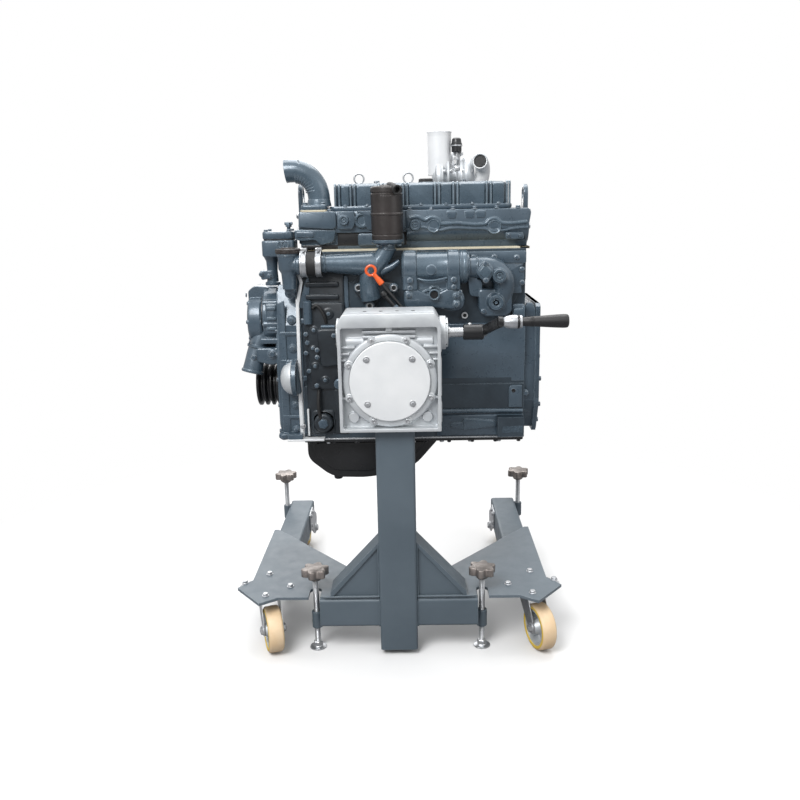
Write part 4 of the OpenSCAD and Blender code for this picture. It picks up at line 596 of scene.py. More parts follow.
def gearbox():
    """The worm gearbox: ribbed casting, cover ring and front disc."""
    s = Shape(CAST_ALU, BLACK)
    left, right = BOX_X - BOX_HALF, BOX_X + BOX_HALF
    cover_r = 119
    outer = rounded(
        [(left, BOX_LOW), (right, BOX_LOW), (right, BOX_TOP - 24), (right - 14, BOX_TOP),
        (left + 14, BOX_TOP), (left, BOX_TOP - 24)], [3, 3, 6, 6, 6, 6])
    inner = rounded(
        [(left + 8, BOX_LOW + 8), (right - 8, BOX_LOW + 8), (right - 8, BOX_TOP - 33),
        (left + 8, BOX_TOP - 33)], 7)
    s.prism(outer, "xz", BOX_FRONT, FLOOR_Y + 1, 1.6, hole=inner)
    s.prism(outer, "xz", FLOOR_Y, BOX_BACK, 3.5)
    for x in (left, right):
        for z0, z1 in ((BOX_LOW + 14, 700), (716, 812), (828, BOX_TOP - 34)):
            side = 1 if x > BOX_X else -1
            s.block((x - 2 + side, -40, z0), (x + 2 + side, 44, z1), 1.5)
    for z in (884, 871.5):
        s.block((BOX_X - 66, FLOOR_Y - 13, z - 3.5), (BOX_X + 66, FLOOR_Y + 1, z + 3.5), 2)
    s.block((BOX_X - 8, FLOOR_Y - 18, 886), (BOX_X + 8, FLOOR_Y + 1, 897), 2)
    for side in (-1, 1):
        for k in range(9):
            z = 846 - 16 * k
            dz = z - OUTPUT_Z
            edge = sqrt(max(cover_r ** 2 - dz * dz, 0))
            x0 = BOX_X + side * max(edge, 60)
            x1 = BOX_X + side * (BOX_HALF - 7)
            if abs(x1 - x0) > 8 and (x1 - x0) * side > 0:
                s.block((min(x0, x1), FLOOR_Y - 11, z - 3), (max(x0, x1), FLOOR_Y + 1, z + 3), 1.8)
        s.turn((BOX_X + side * 92, FLOOR_Y + 1, BOX_LOW + 34), "-y", [(0, 15), (8, 13), (9, 12)], 0, 24)
    s.rod((BOX_X - 108, -40, WORM_Z - 14), (BOX_X + 108, -40, WORM_Z - 14), 17)
    for k in range(4):
        s.rod((BOX_X - 60 + 40 * k, -20, BOX_TOP - 1), (BOX_X - 60 + 40 * k, -20, BOX_TOP + 0.6), 5, 1)
    s.ring((right - 1, WORM_Y, WORM_Z), (right + 14, WORM_Y, WORM_Z), 42, 20, 0)
    s.ring((right + 13, WORM_Y, WORM_Z), (right + 19.5, WORM_Y, WORM_Z), 37, 20, 0)
    s.ring((right + 12, WORM_Y, WORM_Z), (right + 16.5, WORM_Y, WORM_Z), 20.5, 13.2, 1)
    s.ring((left - 5, WORM_Y, WORM_Z), (left + 1, WORM_Y, WORM_Z), 40, 0.5, 0)
    for x, away in ((right + 13.5, "x"), (left - 4.5, "-x")):
        for k in range(4):
            a = radians(45 + 90 * k)
            s.screw((x, WORM_Y + 33 * cos(a), WORM_Z + 33 * sin(a)), away, 4.4, 1, 4)
    s.make("gearbox_casting", "stand", "gearbox_housing", slot="cast_aluminium")

    c = Shape(CAST_ALU, ZINC)
    c.turn(
        (BOX_X, FLOOR_Y + 1, OUTPUT_Z), "-y", [(0, 117.5), (13, 117.5), (16, 115), (17, 113), (17, 101.5),
        (15.5, 100.5)], 0, 96)
    for k in range(8):
        a = radians(22.5 + 45 * k)
        x, z = BOX_X + 109 * cos(a), OUTPUT_Z + 109 * sin(a)
        c.turn((x, FLOOR_Y + 1, z), "-y", [(0, 11.5), (16, 11.5), (18, 10)], 0, 28)
        c.screw((x, FLOOR_Y - 17, z), "-y", 6, 1, 5.5)
    c.make("gearbox_cover_ring", "stand", "gearbox_cover", slot="cast_aluminium")

    d = Shape(DISC_ALU, ZINC)
    d.turn((BOX_X, -67.5, OUTPUT_Z), "-y", [(0, 97), (1.5, 100), (7, 100), (8.5, 98.5)], 0, 128)
    for x in (-56, 56):
        for z in (-56, 56):
            d.turn((BOX_X + x, -75.5, OUTPUT_Z + z), "-y", [(0, 8.5), (1.2, 8.2)], 1, 28)
            d.bolt((BOX_X + x, -76.5, OUTPUT_Z + z), "-y", 5.5, 1, 4, False)
    d.make("gearbox_front_disc", "stand", "gearbox_disc", slot="cast_aluminium")


# Stand


def knob_outline(reach):
    """The six-lobed outline of a jack's knob."""
    out = []
    count = 96
    for k in range(count):
        a = tau * k / count
        lobe = 0.5 + 0.5 * cos(6 * a)
        r = reach * (0.70 + 0.30 * lobe ** 0.8)
        out.append((r * cos(a), r * sin(a)))
    return out


JACKS = (("front_left", -225.5, 0), ("front_right", 225.5, 0),
         ("rear_left", -410.5, 712), ("rear_right", 410.5, 712))
FRONT_KNOB_Z, REAR_KNOB_Z = 214, 248
FRONT_SLEEVE_Z, REAR_SLEEVE_Z = 61, 101


def jack(name, x, y, knob_z):
    """One screw jack: threaded screw, knob and foot."""
    s = Shape(ZINC, KNOB)
    pitch = 2.5
    profile = [(0, 0), (0, 6.5)]
    length = knob_z - 22
    for k in range(int(length / pitch)):
        profile += [(pitch * (k + 0.25), 7.9), (pitch * (k + 0.5), 7.9), (pitch * (k + 0.95), 6.7)]
    profile += [(length, 6.7), (length, 0)]
    s.lathe((x, y, 8), "z", profile, 0, 20)
    # the rear screws keep no nut, which would meet the caster brackets when they are raised
    if y < 100:
        s.bolt((x, y, 8.6), "z", 13, 0, 9, False)
    top = Shape(KNOB)
    top.prism(knob_outline(37.5), "xy", knob_z, knob_z + 22, 5.0, 0, 3)
    top.lathe((0, 0, knob_z - 12), "z", [(0, 0), (0, 15), (3, 17), (13, 22)], 0, 36)
    top.turn((0, 0, knob_z + 20), "z", [(0, 21), (2.2, 19), (2.6, 17)], 0, 36)
    top.move(Matrix.Translation(Vector((x, y, 0))) @ Matrix.Rotation(0.3, 4, "Z"))
    for face in top.bm.faces:
        face.material_index = 1
    s.absorb(top.bm)
    s.make(name + "_screw_detail", name + "_screw", name + "_screw", slot="knob_metal")
    f = Shape(ZINC)
    f.turn((x, y, 0), "z", [(0, 22), (1, 23), (3, 22.5), (4.5, 18), (6, 13), (7.6, 12)], 0, 48)
    f.make(name + "_foot_detail", name + "_foot", name + "_foot", slot="zinc")


def sleeves():
    """The jacks' sleeves, welded to the stand."""
    s = Shape(BLACK, STAND_PAINT)
    for _, x, y in JACKS:
        z = REAR_SLEEVE_Z if y else FRONT_SLEEVE_Z
        s.ring((x, y, z), (x, y, z + 48), 13.5, 8.2, 1, 40, 1.2)
        side = -1 if x > 0 else 1
        x0, x1 = sorted((x + side * 8, x + side * 14))
        s.block((x0, y - 7, z + 4), (x1, y + 7, z + 44), 1.5, 1)
        for dy in (-8, 8):
            s.tube(
                [(x + side * 12, y + dy, z + 3), (x + side * 12, y + dy, z + 24),
                (x + side * 12, y + dy, z + 45)], 2.4, 1, 10)
    s.make("jack_sleeve_detail", "stand", "jack_sleeves", slot="black_metal")


CASTER_X, CASTER_Y, TRAIL = 364, 40, 56
HEADING, PLATE_TURN = radians(-71), radians(48)


def plate_bolts():
    """The bolts that hold the swivel casters' plates."""
    s = Shape(ZINC)
    turn = PLATE_TURN
    for side in (-1, 1):
        for a in (-52.5, 52.5):
            for b in (-40, 40):
                x = a * cos(turn) - b * sin(turn)
                y = a * sin(turn) + b * cos(turn)
                px, py = side * (CASTER_X + x), CASTER_Y + y
                s.bolt((px, py, 168), "z", 8, 0, 6.2)
                s.rod((px, py, 150), (px, py, 169), 4.9, 0, 20)
                s.bolt((px, py, 156), "-z", 8, 0, 6)
    s.make("plate_bolts", "stand", "stand_fasteners", slot="zinc")


def wheel(name, centre, axis):
    """A caster wheel: tread, yellow sides and a cast core with spokes."""
    s = Shape(TYRE, YELLOW, CAST_ALU, ZINC, BLACK)
    centre = Vector(centre)
    s.lathe(
        (0, -20, 0), "y", [(0, 50), (0, 58), (2.2, 61), (5.5, 62.5), (34.5, 62.5), (37.8, 61), (40, 58),
        (40, 50)], 0, 72, True)
    for y, out in ((-20, "-y"), (20, "y")):
        s.lathe(
            (0, y, 0), out, [(-3, 50), (-3, 57.5), (0.5, 57), (1.0, 55.5), (1.0, 51), (0.3, 49.6),
            (-3, 49.6)], 1, 72, True)
    s.lathe(
        (0, -18.5, 0), "y", [(0, 44), (0, 50.2), (37, 50.2), (37, 44), (24, 42), (18.5, 41.5), (13, 42)],
        2, 72, True)
    s.lathe(
        (0, -23, 0), "y", [(0, 8.2), (0, 15), (2, 17), (14, 20), (18, 23), (28, 23), (32, 20), (44, 17),
        (46, 15), (46, 8.2)], 2, 48, True)
    for k in range(5):
        a = tau * k / 5 + 0.3
        out = Vector((cos(a), 0, sin(a)))
        across = Vector((-sin(a), 0, cos(a)))
        turn = Matrix((across, Vector((0, 1, 0)), out)).transposed()
        spoke = out * 32
        s.block(spoke - Vector((7.5, 5, 13)), spoke + Vector((7.5, 5, 13)), 3, 2, 2, turn)
    s.lathe((0, -4, 0), "y", [(0, 8.2), (0, 23.5), (8, 23.5), (8, 8.2)], 2, 48, True)
    for y, out in ((-23.2, "-y"), (23.2, "y")):
        s.lathe((0, y, 0), out, [(-3, 8.2), (-3, 14), (0, 13.4), (0, 8.2)], 4, 32, True)
    along = Vector(axis).normalized()
    up = Vector((0, 0, 1))
    turn = Matrix((along.cross(up), along, up)).transposed().to_4x4()
    s.move(Matrix.Translation(centre) @ turn)
    s.make(name + "_detail", name, name, slot="caster_tyre")


def fork_cheek(s, y0, y1):
    """One pressed cheek of a swivel fork, in the fork's own frame."""
    outline = [(-26, 146), (-28, 138), (-16, 122)]
    centre = (TRAIL, WHEEL_R)
    for a in range(200, 381, 15):
        outline.append((centre[0] + 17 * cos(radians(a)), centre[1] + 17 * sin(radians(a))))
    outline += [(60, 96), (44, 122), (33, 138), (31, 146)]
    s.prism(outline, "xz", y0, y1, 0.8)


def forks():
    """The swivel forks with their races and axles."""
    for side, name in ((-1, "left_fork"), (1, "right_fork")):
        s = Shape(ZINC, BLACK)
        for y0, y1 in ((-27.2, -24.2), (24.2, 27.2)):
            fork_cheek(s, y0, y1)
        s.block((-28, -27.2, 141.8), (32, 27.2, 145), 1.2)
        s.ring((0, 0, 143), (0, 0, 149.6), 30, 8.3, 0, 56, 2.4)
        s.ring((0, 0, 138), (0, 0, 142.4), 24, 15, 0, 48, 1.5)
        s.torus((0, 0, 149.0), "z", 27.5, 1.6, 1, 56, 8)
        s.rod((TRAIL, -30, WHEEL_R), (TRAIL, 30, WHEEL_R), 7.9, 0, 28)
        for y, away in ((-27.2, "-y"), (27.2, "y")):
            s.bolt((TRAIL, y, WHEEL_R), away, 11.5, 0, 6)
            s.rod((TRAIL, y, WHEEL_R), (TRAIL, y + (-9 if away == "-y" else 9), WHEEL_R), 5, 0, 20)
        s.move(
            Matrix.Translation(Vector((side * CASTER_X, CASTER_Y, 0))) @ Matrix.Rotation(HEADING, 4, "Z"))
        s.make(name + "_detail", name, name, slot="zinc")


def brackets():
    """Top plates of the swivel casters with their races, and the cheeks of the fixed ones."""
    s = Shape(ZINC)
    for side in (-1, 1):
        plate = Shape(ZINC)
        plate.pad(-67, 67, -54, 54, 14, 156, 160, 1.0, plane="xy", steps=5)
        plate.ring((0, 0, 150.2), (0, 0, 156.5), 33, 8.0, 0, 56, 2.0)
        plate.rod((0, 0, 133), (0, 0, 157), 7.9, 0, 28)
        plate.bolt((0, 0, 141.6), "-z", 13.5, 0, 7)
        turn = PLATE_TURN * side
        plate.move(
            Matrix.Translation(Vector((side * CASTER_X, CASTER_Y, 0))) @ Matrix.Rotation(turn, 4, "Z"))
        s.absorb(plate.bm)
        s.cast(
            [(588, 97), (588, 160), (664, 160), (712, 122), (746, 106), (752, 84), (733, 46), (712, 42),
            (694, 46), (668, 60), (628, 90)], 10, *sorted((side * 313.2, side * 317)), 0.8, plane="yz")
        s.cast(
            [(668, 60), (694, 46), (712, 42), (733, 46), (750, 74), (752, 99), (668, 99)], 8,
            *sorted((side * 397, side * 401)), 0.8, plane="yz")
        s.rod((side * 306, REAR_Y, WHEEL_R), (side * 401.6, REAR_Y, WHEEL_R), 7.9, 0, 28)
        s.bolt((side * 313.2, REAR_Y, WHEEL_R), (-side, 0, 0), 12, 0, 7)
        for x0, x1 in ((317, 333.5), (380.5, 397)):
            s.ring((side * x0, REAR_Y, WHEEL_R), (side * x1, REAR_Y, WHEEL_R), 12, 8, 0, 32)
        for y, z in ((606, 112), (606, 146), (646, 146)):
            s.bolt((side * 313.2, y, z), (-side, 0, 0), 6.5, 0, 4)
    s.make("caster_mounts", "stand", "caster_brackets", slot="zinc")


def crank():
    """Hand crank: flat stepped arm on its socket, collar and grip."""
    s = Shape(BLACK, MACHINED, ZINC)
    s.rod((175, 0, 0), (227, 0, 0), 19.5, 0, 48, 2.5)
    s.rod((124, 0, 0), (176, 0, 0), 12.4, 1, 36, 1)
    s.rod((137.5, 0, 0), (142, 0, 0), 15, 1, 36, 1)
    s.bolt((226.5, 0, 0), "x", 11, 1, 7)
    s.screw((192, 0, 18.5), "z", 5, 1, 4)
    path = [(220, 6), (222, -6), (229, -24), (248, -80), (256, -97), (256, -111)]
    width = 12.5
    thick = 4
    for (xa, ya), (xb, yb) in zip(path, path[1:]):
        mid = Vector(((xa + xb) / 2, (ya + yb) / 2, 0))
        run = Vector((xb - xa, yb - ya, 0))
        along = run.normalized()
        across = Vector((0, 0, 1))
        turn = Matrix((along, across.cross(along), across)).transposed()
        half = Vector((run.length / 2 + 2.5, thick, width))
        s.block(mid - half, mid + half, 1.6, 0, 2, turn)
    s.rod((252, -CRANK_ARM, 0), (264, -CRANK_ARM, 0), 13, 0, 40, 1.5)
    s.turn(
        (263, -CRANK_ARM, 0), "x", [(0, 8), (3, 11), (9, 14), (18, 16), (28, 16.6), (34, 16.4), (35, 15)],
        2, 48)
    s.torus((301, -CRANK_ARM, 0), "x", 13, 3.6, 0, 48, 12)
    s.rod((303, -CRANK_ARM, 0), (309.5, -CRANK_ARM, 0), 15.4, 2, 48, 1.2)
    s.move(Matrix.Translation(Vector((0, WORM_Y, WORM_Z))) @ Matrix.Rotation(-CRANK_RISE, 4, "X"))
    s.make("crank_detail", "hand_crank", "crank_arm", slot="black_metal")
    g = Shape(PLASTIC)
    y, z = WORM_Y - CRANK_ARM * cos(CRANK_RISE), WORM_Z + CRANK_ARM * sin(CRANK_RISE)
    g.turn(
        (309, y, z), "x", [(0, 9.5), (1.5, 10.4), (20, 11.6), (50, 13.6), (80, 15.6), (98, 16.4),
        (105, 16.2), (108.5, 14.8), (110, 12.5)], 0, 56)
    for k in range(3):
        g.torus((330 + 3 * k, y, z), "x", 11.7 + 0.2 * k, 0.7, 0, 48, 8)
    g.make("grip_detail", "crank_grip", "crank_grip", slot="black_plastic")


def welds():
    """Weld seams between the tubes, plates and braces."""
    s = Shape(STAND_PAINT)
    for side in (-1, 1):
        for y in (-38, 38):
            s.tube([(side * 52, y, 168), (side * 51.5, y, 240), (side * 51.5, y, 318)], 2.4, 0, 8)
        s.tube(
            [(side * 52, -34, 168.5), (side * 60, -39.5, 168.2), (side * 200, -39.5, 168.2)], 2.2, 0, 8)
        for z in (82, 158):
            s.tube([(side * 51, -38, z), (side * 51, 0, z), (side * 51, 38, z)], 2.6, 0, 8)
        s.tube([(side * 51, -40, 84), (side * 51, -40, 120), (side * 51, -40, 156)], 2.6, 0, 8)
    s.make("weld_seams", "stand", slot="stand_paint")


gearbox()
for jack_name, jack_x, jack_y in JACKS:
    jack(jack_name, jack_x, jack_y, REAR_KNOB_Z if jack_y else FRONT_KNOB_Z)
sleeves()
plate_bolts()
for wheel_side, side_name in ((-1, "left"), (1, "right")):
    wheel(
        "front_%s_wheel" % side_name, (wheel_side * CASTER_X + TRAIL * cos(HEADING),
        CASTER_Y + TRAIL * sin(HEADING), WHEEL_R), (-sin(HEADING), cos(HEADING), 0))
    wheel("rear_%s_wheel" % side_name, (wheel_side * REAR_X, REAR_Y, WHEEL_R), (1, 0, 0))
forks()
brackets()
crank()
welds()


# Engine: head, covers and block

CASTING = (PAINT, PAINT_SMOOTH, HEAD_BOLT, BLACK)
NEAR, FAR, CRANK_Y, CRANK_Z = 185, 505, 345, 675
DECK_Z, HEAD_Z, HEAD_TOP = 1066, 1069, 1171
COVER_TOP = 1243
BORE_X, BORE_STEP = -120, 130


def rib(s, points, y, r, mat=0):
    """A raised cast line along points given as (x, z)."""
    s.tube([(x, y, z) for x, z in points], r, mat, 12, 5)


def plug(s, x, y, z, r, out=10, mat=0, core=1):
    """A round boss on a near face with a socket plug in its middle."""
    s.turn(
        (x, y, z), "-y", [(0, r * 1.1), (out - 2, r), (out, r * 0.9), (out, r * 0.62),
        (out - 2.5, r * 0.58)], mat, 36)
    s.turn(
        (x, y - out + 2.6, z), "-y", [(0, r * 0.5), (1.6, r * 0.46), (1.6, r * 0.24), (-0.4, r * 0.22)],
        core, 6)


def cylinder_head():
    """The head with its stepped near face, plugs and bolts."""
    s = Shape(*CASTING)
    s.block((-255, 215, 1113), (365, 485, HEAD_TOP), 5)
    s.block((-253, 227, HEAD_Z), (363, 484, 1116), 4)
    s.cast(
        [(-255, 1131), (-251, HEAD_TOP), (-153, HEAD_TOP), (-153, 1130), (-162, 1124)], [3, 3, 8, 6, 4],
        205, 222, 4)
    s.cast(
        [(-267, 1124), (-155, 1122), (-161, 1091), (-198, 1082), (-211, 1098), (-248, 1094),
        (-267, 1099)], [5, 4, 10, 12, 12, 6, 6], 212, 232, 5, 1)
    s.cast([(-262, 1119), (-214, 1118), (-214, 1104), (-262, 1103)], 5, 209, 214, 2, 0)
    s.cast(
        [(-149, HEAD_TOP), (-103, HEAD_TOP), (-101, 1140), (-108, 1124), (-149, 1124)], [3, 6, 10, 10, 6],
        203, 222, 4)
    plug(s, -131, 204, 1147, 13, 8)
    s.turn((-84, 214, 1146), "-y", [(0, 22), (4, 21), (6, 18), (6, 14), (1, 11)], 1, 40)
    s.cast(
        [(-101, HEAD_TOP), (34, HEAD_TOP), (34, 1121), (-66, 1121), (-74, 1132), (-78, 1160)], 6, 206,
        222, 4)
    s.pad(-96, 30, 1112, 1078, 8, 216, 230, 4)
    s.cast(
        [(33, HEAD_TOP), (366, HEAD_TOP - 1), (371, 1160), (366, 1130), (367, 1117), (33, 1119)],
        [4, 6, 6, 10, 6, 4], 205, 224, 6)
    under = [
        (212, 1168), (205.5, 1150), (205.5, 1124), (209, 1110), (217, 1096), (229, 1085), (246, 1077),
        (262, 1073), (262, 1168)]
    s.cast(under, 7, 36, 366, 3, plane="yz")
    # thin black sheets in the recess under the head's near face: painted shade where the recess lies in
    # shadow
    s.block((-152, 225.4, 1079), (36, 229, 1120), 1, 3)
    s.block((-250, 225.6, 1071), (-152, 229, 1082), 1, 3)
    plug(s, 60, 206, 1131, 15, 8)
    for x, z, r in ((109, 1128, 17), (272, 1122, 18)):
        s.lathe(
            (x, 207, z), "-y", [(0, 0), (0, r + 1), (4, r + 1), (6, r - 0.6), (5.2, r - 2.4),
            (2.6, r - 5), (0.8, r - 9), (0.2, 4), (0, 0)], 1, 44)
    rib(
        s, [(44, 1150), (66, 1153), (86, 1144), (97, 1149), (109, 1150), (124, 1143), (131, 1133),
        (170, 1134), (212, 1130), (247, 1131), (258, 1141), (276, 1144), (292, 1133), (318, 1131),
        (360, 1134)], 205, 5.2, 1)
    rib(
        s, [(44, 1126), (84, 1124), (122, 1116), (160, 1121), (212, 1119), (247, 1118), (262, 1112),
        (296, 1113), (330, 1118), (362, 1119)], 206, 3.6)
    s.cast([(303, 1107), (350, 1106), (352, 1089), (303, 1090)], 4, 203, 228, 3)
    for x in (158, 206, 236):
        s.cast([(x - 14, 1166), (x + 14, 1166), (x + 11, 1147), (x - 11, 1147)], 5, 202, 210, 2.5)
    for x in (-240, -170, 46, 104, 162, 220, 278, 336):
        s.bolt((x, 212, HEAD_TOP - 0.5), "z", 6.5, 2, 6)
    for x in (311, 342):
        s.bolt((x, 204, 1098), "-y", 5, 2, 4)
    for k in range(5):
        s.bolt((BORE_X - 65 + BORE_STEP * k, 470, HEAD_TOP - 0.5), "z", 7, 2, 6)
    for k in range(4):
        s.turn((BORE_X + BORE_STEP * k, 484, 1115), "y", [(0, 33), (3, 33), (4, 31)], 0, 40)
    s.pad(-232, -190, 1160, 1085, 6, 482, 489, 3)
    s.block((-259, 240, 1085), (-252, 450, 1160), 4, 1)
    s.block((362, 240, 1085), (368, 450, 1160), 4, 1)
    s.make("cylinder_head_casting", "engine", "cylinder_head", slot="engine_paint")


def gasket():
    """The head gasket, as an open frame so that the bores stay free."""
    s = Shape(GASKET)
    for x0, x1, y0, y1 in (
            (-257, 366, 189, 282), (-257, 366, 408, 506), (-257, -190, 189, 506), (337, 366, 189, 506)):
        s.pad(x0, x1, y0, y1, 3, DECK_Z - 1.2, HEAD_Z + 1.4, 0.5, plane="xy")
    s.make("head_gasket_sheet", "engine", "head_gasket", slot="gasket")


def rocker_cover():
    """The rocker cover: flange, paired ridges, panels, caps and eyes."""
    s = Shape(*CASTING, RIDGE_HIGHLIGHT, ZINC)
    x0, x1, y0, y1 = -168, 318, 240, 450
    s.pad(x0 - 6, x1 + 6, y0 - 6, y1 + 6, 24, HEAD_TOP, HEAD_TOP + 13, 4, plane="xy", steps=6)
    s.pad(x0 + 7, x1 - 7, y0 + 7, y1 - 7, 20, HEAD_TOP + 10, COVER_TOP - 2, 9, 0, 4, plane="xy", steps=6)
    pillars = [-150, -108, -31, 34, 120.5, 170, 260, 312]
    panels = [(-141, -117), (-99, -40), (-22, 25), (43, 111), (130, 161), (179, 251), (269, 303)]
    # paired ridges in the lighter ridge finish, a painted highlight
    for mid in pillars:
        for y in (y0 + 0.5, y1 - 0.5):
            for dx in (-5.6, 5.6) if mid < 300 else (-3, 4):
                s.rod((mid + dx, y, HEAD_TOP + 8), (mid + dx, y, COVER_TOP - 7), 3.1, 4, 16, 1.5)
                s.tube(
                    [(mid + dx, y, COVER_TOP - 8), (mid + dx, y + (2 if y < 300 else -2),
                    COVER_TOP - 3.5), (mid + dx, y + (8 if y < 300 else -8), COVER_TOP - 1.5)], 3.1, 4,
                    16, 4)
    for (a, b) in panels:
        for side, y in ((-1, y0), (1, y1)):
            lo, hi = (y + 2.5, y + 14) if side < 0 else (y - 14, y - 2.5)
            s.pad(a, b, HEAD_TOP + 11, COVER_TOP - 5, 7, lo, hi, 4, 1, 4)
    for x in (-129, -70, 77, 145, 215, 286):
        for y in (y0 - 1, y1 + 1):
            s.turn((x, y, HEAD_TOP + 11), "z", [(0, 7), (3, 6.5)], 0, 24)
            s.bolt((x, y, HEAD_TOP + 13), "z", 4.2, 2, 3.5)
    s.pad(
        x0 + 16, x1 - 16, y0 + 18, y1 - 18, 16, COVER_TOP - 5, COVER_TOP - 0.6, 2.4, plane="xy", steps=5)
    for k in range(4):
        a = x0 + 34 + 112 * k
        s.pad(a, a + 84, 300, 390, 12, COVER_TOP - 2, COVER_TOP + 1.2, 1.2, plane="xy")
    for x in (-46.5, 196.5):
        s.turn((x, CRANK_Y, COVER_TOP - 1), "z", [(0, 15), (1.6, 14)], 3, 32)
        s.bolt((x, CRANK_Y, COVER_TOP + 0.4), "z", 8, 2, 7)
    s.turn((92, CRANK_Y, COVER_TOP - 2), "z", [(0, 24), (5, 23)], 0, 48)
    s.turn((92, CRANK_Y, COVER_TOP + 2.8), "z", [(0, 21), (8, 20), (10, 17)], 3, 10)
    for x in (-103, 42):
        s.torus((x, 452, 1262), "y", 14, 2.6, 5, 40, 10)
        s.rod((x, 452, HEAD_TOP), (x, 452, 1250), 4.2, 5, 20)
    s.make("rocker_cover_casting", "engine", "rocker_cover", slot="engine_paint")


def engine_block():
    """Rails, panels and plugs on the block's near and far sides."""
    s = Shape(*CASTING)
    # rails of the skirt on the near side
    s.cast([(185, 610), (181, 606), (181, 549), (192, 549), (192, 612)], 3, 112, 354, 1.5, plane="yz")
    s.tube([(112, 184, 620), (230, 184, 620), (352, 184, 618)], 6.5, 1, 20, 2)
    s.cast([(186, 600), (275, 592), (280, 575), (186, 566)], 5, 176, 184, 2.5, 1)
    s.cast([(150, 586), (186, 588), (186, 566), (170, 572), (160, 570), (150, 576)], 4, 177, 184, 2)
    s.cast(
        [(304, 602), (320, 606), (354, 606), (354, 550), (284, 550), (284, 566), (304, 574)], 5, 158, 186,
        4, 0)
    s.cast([(290, 583), (352, 586), (352, 560), (290, 560)], 4, 153, 160, 3, 1)
    s.pad(313, 350, 692, 628, [12, 3, 3, 3], 180, 194, 3)
    s.screw((326, 181, 677), "-y", 5.5, 3, 3)
    # folded panel between the carrier plate and the flywheel housing
    s.cast(
        [(194, 868), (183, 866), (181.5, 806), (183.5, 782), (188.5, 752), (190.5, 700), (191, 636),
        (194, 634)], [3, 4, 20, 20, 20, 20, 2, 1], 118, 356, 2, plane="yz", steps=5)
    # steps below the head on the right
    s.cast([(179, 1060), (356, 1060), (356, 1026), (179, 1030)], 5, 178, 194, 4)
    s.cast(
        [(206, 1032), (352, 1028), (343, 1016), (352, 1008), (352, 980), (343, 966), (346, 946),
        (206, 946)], 5, 183, 194, 4)
    s.pad(318, 352, 918, 878, 6, 170, 194, 4)
    s.cast([(323, 905), (345, 906), (352, 918), (352, 884), (318, 880)], 4, 163, 172, 3, 1)
    for x, z in ((345, 1010), (346, 975), (330, 1042), (214, 1044), (270, 1044)):
        s.bolt((x, 182 if z < 1020 else 178.5, z), "-y", 6, 2, 5)
    # left part beside the gear case
    s.cast(
        [(-262, 1062), (-232, 1062), (-232, 1004), (-252, 985), (-258, 930), (-264, 920)], 4, 183, 194, 3)
    s.cast([(-236, 999), (-230, 999), (-228, 972), (-237, 916), (-262, 916), (-254, 945)], 6, 178, 190, 3)
    s.cast([(-226, 1056), (-60, 1062), (-60, 1020), (-150, 1012), (-226, 1002)], 6, 185, 194, 3)
    for x, z, r in ((-198, 960, 20), (-150, 940, 17), (-188, 800, 26), (-188, 640, 26)):
        s.turn((x, 190.5, z), "-y", [(0, r), (3, r - 1), (3, r - 5), (1, r - 6)], 1, 40)
    for z in (720, 880):
        s.pad(-262, -132, z + 7, z - 7, 3, 184, 194, 3)
    for x in (-262, -196, -130):
        s.pad(x - 6, x + 6, 1002, 560, 3, 184, 194, 3)
    # far side: core plugs, ribs and a cover
    for k in range(4):
        x = BORE_X + BORE_STEP * k
        s.turn((x, 499, 980), "y", [(0, 30), (4, 29), (4, 24), (1, 22)], 1, 44)
        s.turn((x, 499, 860), "y", [(0, 24), (3, 23), (3, 19), (0.8, 17)], 1, 40)
    for k in range(5):
        x = BORE_X - 65 + BORE_STEP * k
        s.pad(x - 8, x + 8, 1050, 560, 4, 497, 506, 3)
    for z in (1046, 915, 780, 570):
        s.pad(-256, 350, z + 8, z - 8, 4, 497, 505.5, 3)
    s.pad(-150, 290, 752, 600, 18, 498, 508, 3, 1, steps=5)
    for x in (-138, -32, 70, 174, 278):
        for z in (742, 610):
            s.bolt((x, 507.5, z), "y", 6, 2, 5)
    for x, z in ((-60, 1040), (85, 1040), (210, 1040)):
        s.bolt((x, 505, z), "y", 6, 2, 5)
    s.make("block_detail", "engine", slot="engine_paint")


cylinder_head()
gasket()
rocker_cover()
engine_block()

# Engine: front end


def oil_pan():
    """The pressed pan with its flange and bolts."""
    s = Shape(BLACK, MACHINED, ZINC)
    outline = [(-262, 540), (-262, 470), (-193, 413), (-82, 410), (46, 441), (118, 524), (118, 540)]
    s.cast(outline, [2, 22, 30, 34, 34, 14, 2], 236, 454, 13, 0, 5, steps=5)
    s.pad(-264, 356, NEAR, FAR, 10, 533, 542, 1.6, plane="xy")
    s.pad(-266, 356.5, 183.5, 506, 10, 541, 545.5, 0.8, 1, plane="xy")
    s.pad(-268, 128, 226, 464, 16, 529, 534.5, 2, plane="xy")
    for y in (231, 452):
        s.cast(
            [(-240, 520), (-240, 476), (-188, 434), (-90, 430), (26, 456), (84, 520)], 18, y, y + 7, 3.2,
            0, 3)
    for y in (290, 345, 400):
        s.cast(
            [(-170, 414), (-90, 411), (20, 437), (20, 430), (-88, 404), (-170, 407)], 3, y - 6, y + 6,
            2.5)
    s.turn((-120, 345, 410), "-z", [(0, 21), (4, 20)], 0, 36)
    s.turn((-178, 262, 416), "-z", [(-6, 13), (12, 13), (15, 11)], 0, 36)
    s.bolt((-120, 345, 406), "-z", 12, 2, 8)
    for k in range(10):
        x = -246 + 65.5 * k
        for y in (195, 495):
            s.bolt((x, y, 533.5), "-z", 5.6, 0, 6)
    s.bolt((-265, 181, 583), "-y", 7, 2, 6)
    s.make("oil_pan_pressing", "engine", "oil_pan", slot="black_metal")


